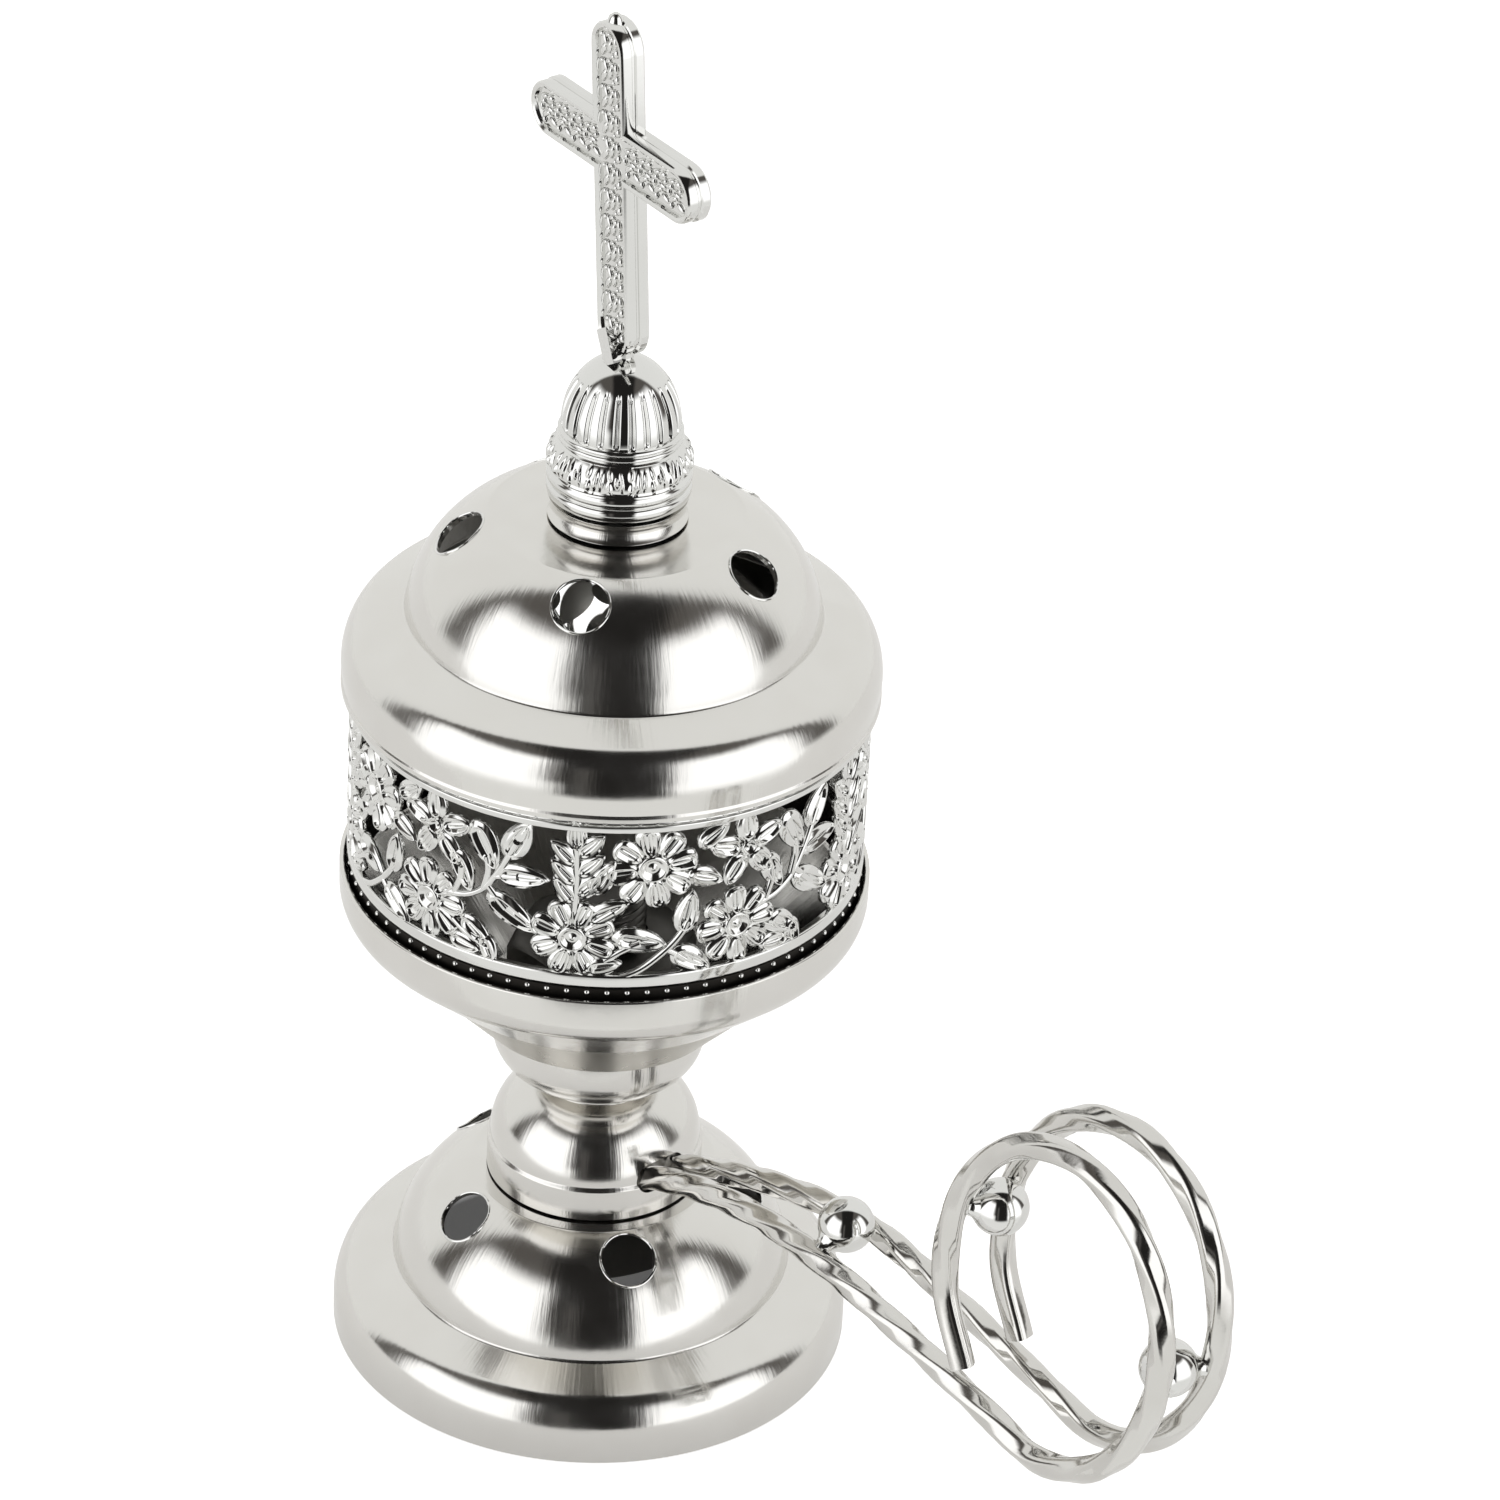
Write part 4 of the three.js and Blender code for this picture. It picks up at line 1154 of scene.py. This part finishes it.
def band_relief(turn, height, low, high):
    """How far the ground of the finial's band lies under its small leaves and beads."""
    share = (height - low) / (high - low)
    if share < 0.06 or share > 0.94:
        return 0.0
    across = (turn * BAND_REPEATS) % 1.0
    raised = 0.0
    for spot_across, spot_up, wide, tall in BAND_SPOTS:
        lean = (share - spot_up) * (0.1 if spot_across < 0.5 else -0.1)
        away = math.hypot((across - spot_across - lean) / wide, (share - spot_up) / tall)
        raised = max(raised, 1 - eased(away, 0.35, 1.15))
    return BAND_DEPTH * (1 - raised)


def finial():
    """The cast cap, its outline turned and then sunk between the flutes and in the ground of the band."""
    base, top = heights("finial_cap")
    outline = finial_outline(base)
    band = base + FINIAL_RING_HEIGHT
    neck = band + FINIAL_BAND_HEIGHT
    dome = neck + FINIAL_NECK_HEIGHT
    sides = 24 * FLUTE_COUNT
    verts = []
    for side in range(sides):
        turn = side / sides
        for radius, height in outline:
            sunk = flute_relief(turn, height, dome, top)
            if band < height < neck:
                sunk += band_relief(turn, height, band, neck)
            verts.append(about_axis(max(radius - sunk, 0.0), 2 * math.pi * turn, height))
    count = len(outline)
    underside = tuple(side * count for side in range(sides))
    cap = one_finish(verts, [*column_faces(sides, count, False), underside])
    chromed("finial_fluted", cap, "lid", "finial_cap", STAMPED_CREASE)


def cross_outline(inset, foot, top):
    """Outline of the Latin cross with rounded ends, moved inward by inset. Points are (along, up)."""
    half = CROSS_WIDTH / 2 - inset
    arm = top - CROSS_ARM_DROP
    reach = CROSS_SPAN / 2 - CROSS_WIDTH / 2
    ends = [
        ((0, foot + CROSS_WIDTH / 2), 180),
        ((reach, arm), 270),
        ((0, top - CROSS_WIDTH / 2), 0),
        ((-reach, arm), 90),
    ]
    points = []
    for centre, start in ends:
        points.extend(arc(centre, half, start, start + 180, 16))
        points.append(swung((0, arm), math.sqrt(2) * half, 0, start + 135))
    return points


CROSS_FOOT = heights("finial_cap")[1] + CROSS_GAP
CROSS_STANCE = (
    Matrix.Rotation(math.radians(CROSS_TURN), 3, "Z")
    @ Matrix.Rotation(math.radians(CROSS_LEAN), 3, "X")
    @ Matrix.Rotation(math.radians(CROSS_ROLL), 3, "Y")
)

# One repeat of the relief: each drop's place across and up, half its length, half its width, its turn
ORNAMENT_DROPS = [
    (-1.1, -0.8, 0.95, 0.4, 62),
    (-0.7, 0.5, 0.85, 0.36, 118),
    (-1.5, 0.85, 0.45, 0.32, 20),
    (0.15, -0.15, 0.9, 0.34, 74),
    (0.6, 0.9, 0.42, 0.36, 0),
    (1.4, -0.5, 0.55, 0.42, 90),
    (1.3, 0.75, 0.65, 0.32, 100),
    (0.75, -1.0, 0.38, 0.32, 0),
    (-0.1, 1.25, 0.5, 0.28, 10),
]

# A drop from its sunk edge to its crown: share of its size, share of its height
DROP_RELIEF = [(1.0, -0.1), (1.0, 0.12), (0.86, 0.55), (0.6, 0.85), (0.25, 1.0), (0.0, 1.0)]
DROP_SIDES = 14

# The casting's nub, along and up from the top, and the two ends of the wedge beside the peg
NUB_ROUTE = [(0, -0.4), (0.05, 0.35), (0.1, NUB_HEIGHT - 0.02)]
NUB_OUT = 0.2
WEDGE_ENDS = [(-1.9, 2.6, 1.1), (0.7, -0.5, 1.8)]
WEDGE_HALF = (0.95, 0.55, 0.55)


def cross_point(along, up, out):
    """A point of the cross, out of its middle plane toward the front, as it stands on the finial."""
    return Vector((AXIS_X, 0, CROSS_FOOT)) + CROSS_STANCE @ Vector((along, -out, up - CROSS_FOOT))


def raised_drop(along, up, long, wide, turn):
    """A small raised drop on the front of the cross."""
    rings = []
    for share, rise in DROP_RELIEF:
        ring = []
        for i in range(DROP_SIDES):
            angle = 2 * math.pi * i / DROP_SIDES
            x, y = share * long * math.cos(angle), share * wide * math.sin(angle)
            ring.append((*swung((along, up), x, y, turn), CROSS_FIELD + rise * ORNAMENT_HEIGHT))
        rings.append(ring)
    return lofted(rings)


def ornament(along, up, quarter_turn):
    """One repeat of the relief on the cross, of long and round drops."""
    drops = []
    for across, rise, long, wide, turn in ORNAMENT_DROPS:
        x, y = (across, rise) if not quarter_turn else (-rise, across)
        drops.append(raised_drop(along + x, up + y, long, wide, turn + 90 * quarter_turn))
    return drops


def cross_plate(foot, top):
    """The plate: flat behind, a seam round its edge, and in front a raised rim about a sunk field."""
    half = CROSS_THICKNESS / 2
    back = [(0.9, -half + 0.15), (0.35, -half), (0.0, -half + 0.35), (0.0, -0.3)]
    seam = [(0.28, -0.12), (0.28, 0.1), (0.12, 0.25), (0.12, half - 0.35)]
    front = [(0.3, half - 0.05), (0.55, half), (0.82, half - 0.15), (0.95, CROSS_FIELD)]
    verts = []
    for inset, out in [*back, *seam, *front]:
        outline = cross_outline(inset, foot, top)
        verts.extend(cross_point(along, up, out) for along, up in outline)
    rings = len([*back, *seam, *front])
    return one_finish(verts, capped_faces(rings, len(outline)))


def cross_relief(foot, arm):
    """The drops up the stem and out along both arms."""
    drops = []
    for i in range(ORNAMENT_ROWS):
        drops.extend(ornament(0, foot + ORNAMENT_PITCH * (i + 1), 0))
    for i in range(ARM_ORNAMENTS):
        reach = CROSS_WIDTH / 2 + ARM_ORNAMENT_GAP + ARM_ORNAMENT_PITCH * i
        drops.extend([*ornament(-reach, arm, 1), *ornament(reach, arm, 1)])
    verts, faces, finishes = joined(drops)
    return [cross_point(*v) for v in verts], faces, finishes


def cross():
    foot = CROSS_FOOT
    top = foot + CROSS_HEIGHT - NUB_HEIGHT
    chromed("cross_plate", cross_plate(foot, top), "lid", "cross")
    chromed("cross_relief", cross_relief(foot, top - CROSS_ARM_DROP), "lid", "cross", STAMPED_CREASE)
    nub = [cross_point(along, top + up, NUB_OUT) for along, up in NUB_ROUTE]
    chromed("cross_casting_nub", swept(nub, NUB_RADII, False, 12), "lid", "cross")
    peg = [cross_point(0, heights("cross")[0], 0), cross_point(0, foot + 1, 0)]
    chromed("cross_peg", swept(peg, CROSS_PEG_RADIUS, False, 24), "lid", "cross")
    wide, tall, deep = WEDGE_HALF
    corners = []
    for along, up, out in WEDGE_ENDS:
        for side, ahead in BOX_END:
            corners.append(cross_point(along + wide * side, foot + up + tall * side, out + deep * ahead))
    chromed("cross_wedge", one_finish(corners, BOX_FACES), "lid", "cross")


# The room and the camera

def between(tree, value, low, high, blur):
    """1 where an angle lies between two others in degrees and 0 outside them, with soft ends."""
    ends = []
    for end, ease in ((low, blur), (high, -blur)):
        ramp = {"From Min": math.radians(end - ease), "From Max": math.radians(end + ease)}
        ends.append(add(tree, "MapRange", {"Value": value, **ramp}, interpolation_type="SMOOTHSTEP")[0])
    return add(tree, "Math", {0: ends[0], 1: ends[1]}, operation="MULTIPLY")[0]


def paint_world():
    """A pale tent behind and above, dark on the camera's side, with two lit panels there."""
    world = bpy.data.worlds.new("light_tent")
    bpy.context.scene.world = world
    world.use_nodes = True
    tree = world.node_tree
    tree.nodes.clear()
    place = add(tree, "TexCoord", {})["Generated"]
    front = add(tree, "VectorMath", {0: place, 1: TOWARD_CAMERA}, operation="DOT_PRODUCT")["Value"]
    aside = add(tree, "VectorMath", {0: place, 1: RIGHTWARD}, operation="DOT_PRODUCT")["Value"]
    up = add(tree, "SeparateXYZ", {"Vector": place})["Z"]
    turn = add(tree, "Math", {0: aside, 1: front}, operation="ARCTAN2")[0]
    either_way = add(tree, "Math", {0: turn}, operation="ABSOLUTE")[0]
    lean = add(tree, "Math", {0: aside}, operation="ARCSINE")[0]
    rise = add(tree, "Math", {0: up, 1: front}, operation="ARCTAN2")[0]
    height = add(tree, "Math", {0: up}, operation="ARCSINE")[0]
    tilted = add(tree, "Math", {0: up, 1: -CEILING_TILT, 2: CEILING_TILT}, operation="MULTIPLY_ADD")[0]
    before = add(tree, "Math", {0: front, 1: tilted}, operation="ADD")[0]
    areas = [
        ("#4a4744", before, CEILING_EDGE, height, CEILING_HEIGHT),
        ("#ffffff", either_way, SOFTBOX_TURN, height, SOFTBOX_HEIGHT),
        ("#1c1b1a", lean, CAMERA_SIDE_LEAN, rise, CAMERA_SIDE_RISE),
        ("#4a4846", turn, STREAK_TURN, rise, STREAK_RISE),
    ]
    colour = linear("#cdcdcb")
    for code, across, across_stretch, upright, upright_stretch in areas:
        masks = {0: between(tree, across, *across_stretch), 1: between(tree, upright, *upright_stretch)}
        area = add(tree, "Math", masks, operation="MULTIPLY")[0]
        colour = add(tree, "Mix", {"Factor": area, 6: colour, 7: linear(code)}, data_type="RGBA")[2]
    tent_light = add(tree, "Background", {"Color": colour, "Strength": TENT_STRENGTH})[0]
    white = add(tree, "Background", {"Color": (1, 1, 1, 1), "Strength": 1.0})[0]
    camera_ray = add(tree, "LightPath", {})["Is Camera Ray"]
    mixed = add(tree, "MixShader", {0: camera_ray, 1: tent_light, 2: white})[0]
    add(tree, "OutputWorld", {"Surface": mixed})


def white_sheet():
    """Matt white whose glow lifts it to the background, but not in the shade right under the foot."""
    material = bpy.data.materials.new("matt_white_sheet")
    material.use_nodes = True
    tree = material.node_tree
    shader = tree.nodes["Principled BSDF"]
    shader.inputs["Base Color"].default_value = linear("#e6e5e3")
    shader.inputs["Roughness"].default_value = FLOOR_ROUGHNESS
    path = add(tree, "LightPath", {})
    rays = {0: path["Is Glossy Ray"], 1: path["Is Transmission Ray"]}
    mirrored = add(tree, "Math", rays, operation="MAXIMUM")[0]
    mirrored = add(tree, "Math", {0: mirrored, 1: FLOOR_LIFT_IN_METAL}, operation="MULTIPLY")[0]
    seen = add(tree, "Math", {0: path["Is Camera Ray"], 1: FLOOR_LIFT}, operation="MULTIPLY")[0]
    seen = add(tree, "Math", {0: seen, 1: mirrored}, operation="MAXIMUM")[0]
    place = add(tree, "TexCoord", {})["Object"]
    reach = add(tree, "VectorMath", {0: place, 1: (AXIS_X * MM, 0, 0)}, operation="DISTANCE")["Value"]
    edge = {"From Min": (RIM_RADIUS - FLOOR_SHADE_WIDTH) * MM, "From Max": RIM_RADIUS * MM}
    open_to_light = add(tree, "MapRange", {"Value": reach, **edge, "To Min": FLOOR_LIFT_UNDER_FOOT})[0]
    seen = add(tree, "Math", {0: seen, 1: open_to_light}, operation="MULTIPLY")[0]
    glow = add(tree, "Emission", {"Color": (1, 1, 1, 1), "Strength": seen})[0]
    lifted = add(tree, "AddShader", {0: shader.outputs[0], 1: glow})[0]
    tree.links.new(lifted, tree.nodes["Material Output"].inputs["Surface"])
    return material


def lay_floor():
    """A round white sheet that runs out of the picture all round, and ends below it toward the camera."""
    verts = [(0, 0, -FLOOR_DROP)]
    for i in range(FLOOR_SIDES):
        turn = 2 * math.pi * i / FLOOR_SIDES
        spoke = Vector((FLOOR_RADIUS * math.cos(turn), FLOOR_RADIUS * math.sin(turn), 0))
        cut = min(1.0, FLOOR_FRONT / max(spoke.dot(TOWARD_CAMERA), 1.0))
        verts.append((spoke.x * cut, spoke.y * cut, -FLOOR_DROP))
    faces = [(0, 1 + i, 1 + (i + 1) % FLOOR_SIDES) for i in range(FLOOR_SIDES)]
    floor = mesh_object("white_sheet", verts, faces)
    floor.data.materials.append(white_sheet())


def aim_camera():
    pitch, yaw, roll = map(math.radians, (CAMERA_PITCH, CAMERA_YAW, CAMERA_ROLL))
    lens = bpy.data.cameras.new("photo_camera")
    lens.sensor_width = SENSOR_WIDTH
    lens.lens = FOCAL_PIXELS / FRAME_PIXELS * SENSOR_WIDTH
    lens.clip_start = CAMERA_NEAR * MM
    forward = Vector((math.sin(yaw) * math.cos(pitch), math.cos(yaw) * math.cos(pitch), -math.sin(pitch)))
    right = Vector((math.cos(yaw), -math.sin(yaw), 0))
    up = right.cross(forward)
    across = right * math.cos(roll) + up * math.sin(roll)
    upward = up * math.cos(roll) - right * math.sin(roll)
    axes = Matrix((across, upward, -forward)).transposed().to_4x4()
    spot = Vector((AXIS_X, 0, CAMERA_HEIGHT)) + TOWARD_CAMERA * CAMERA_REACH
    camera = bpy.data.objects.new("photo_camera", lens)
    camera.matrix_world = Matrix.Translation(spot * MM) @ Matrix.Rotation(AZIMUTH, 4, "Z") @ axes
    bpy.context.scene.collection.objects.link(camera)
    bpy.context.scene.camera = camera


def repaint_solids():
    """The small hidden hardware keeps its solids and gets the plain steel."""
    for name in ("base_washer", "bowl_washer", "finial_stud", "stud_washer", "stud_nut"):
        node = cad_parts[name]
        for slot in node.material_slots:
            slot.material = STEEL


foot()
tie_rod()
for nut in ("base_nut", "bowl_nut"):
    hex_nut(nut)
knop()
stem_cup()
bowl()
twisted_wire(-1, "twisted_wire_front", "handle_wire_front")
twisted_wire(1, "twisted_wire_back", "handle_wire_back")
for number in (1, 2, 3):
    bead(number)
lid_dome()
gallery()
gallery_rails()
seat_ring()
collar()
finial()
cross()
repaint_solids()
paint_world()
lay_floor()
aim_camera()
bpy.context.scene.view_settings.view_transform = "Standard"
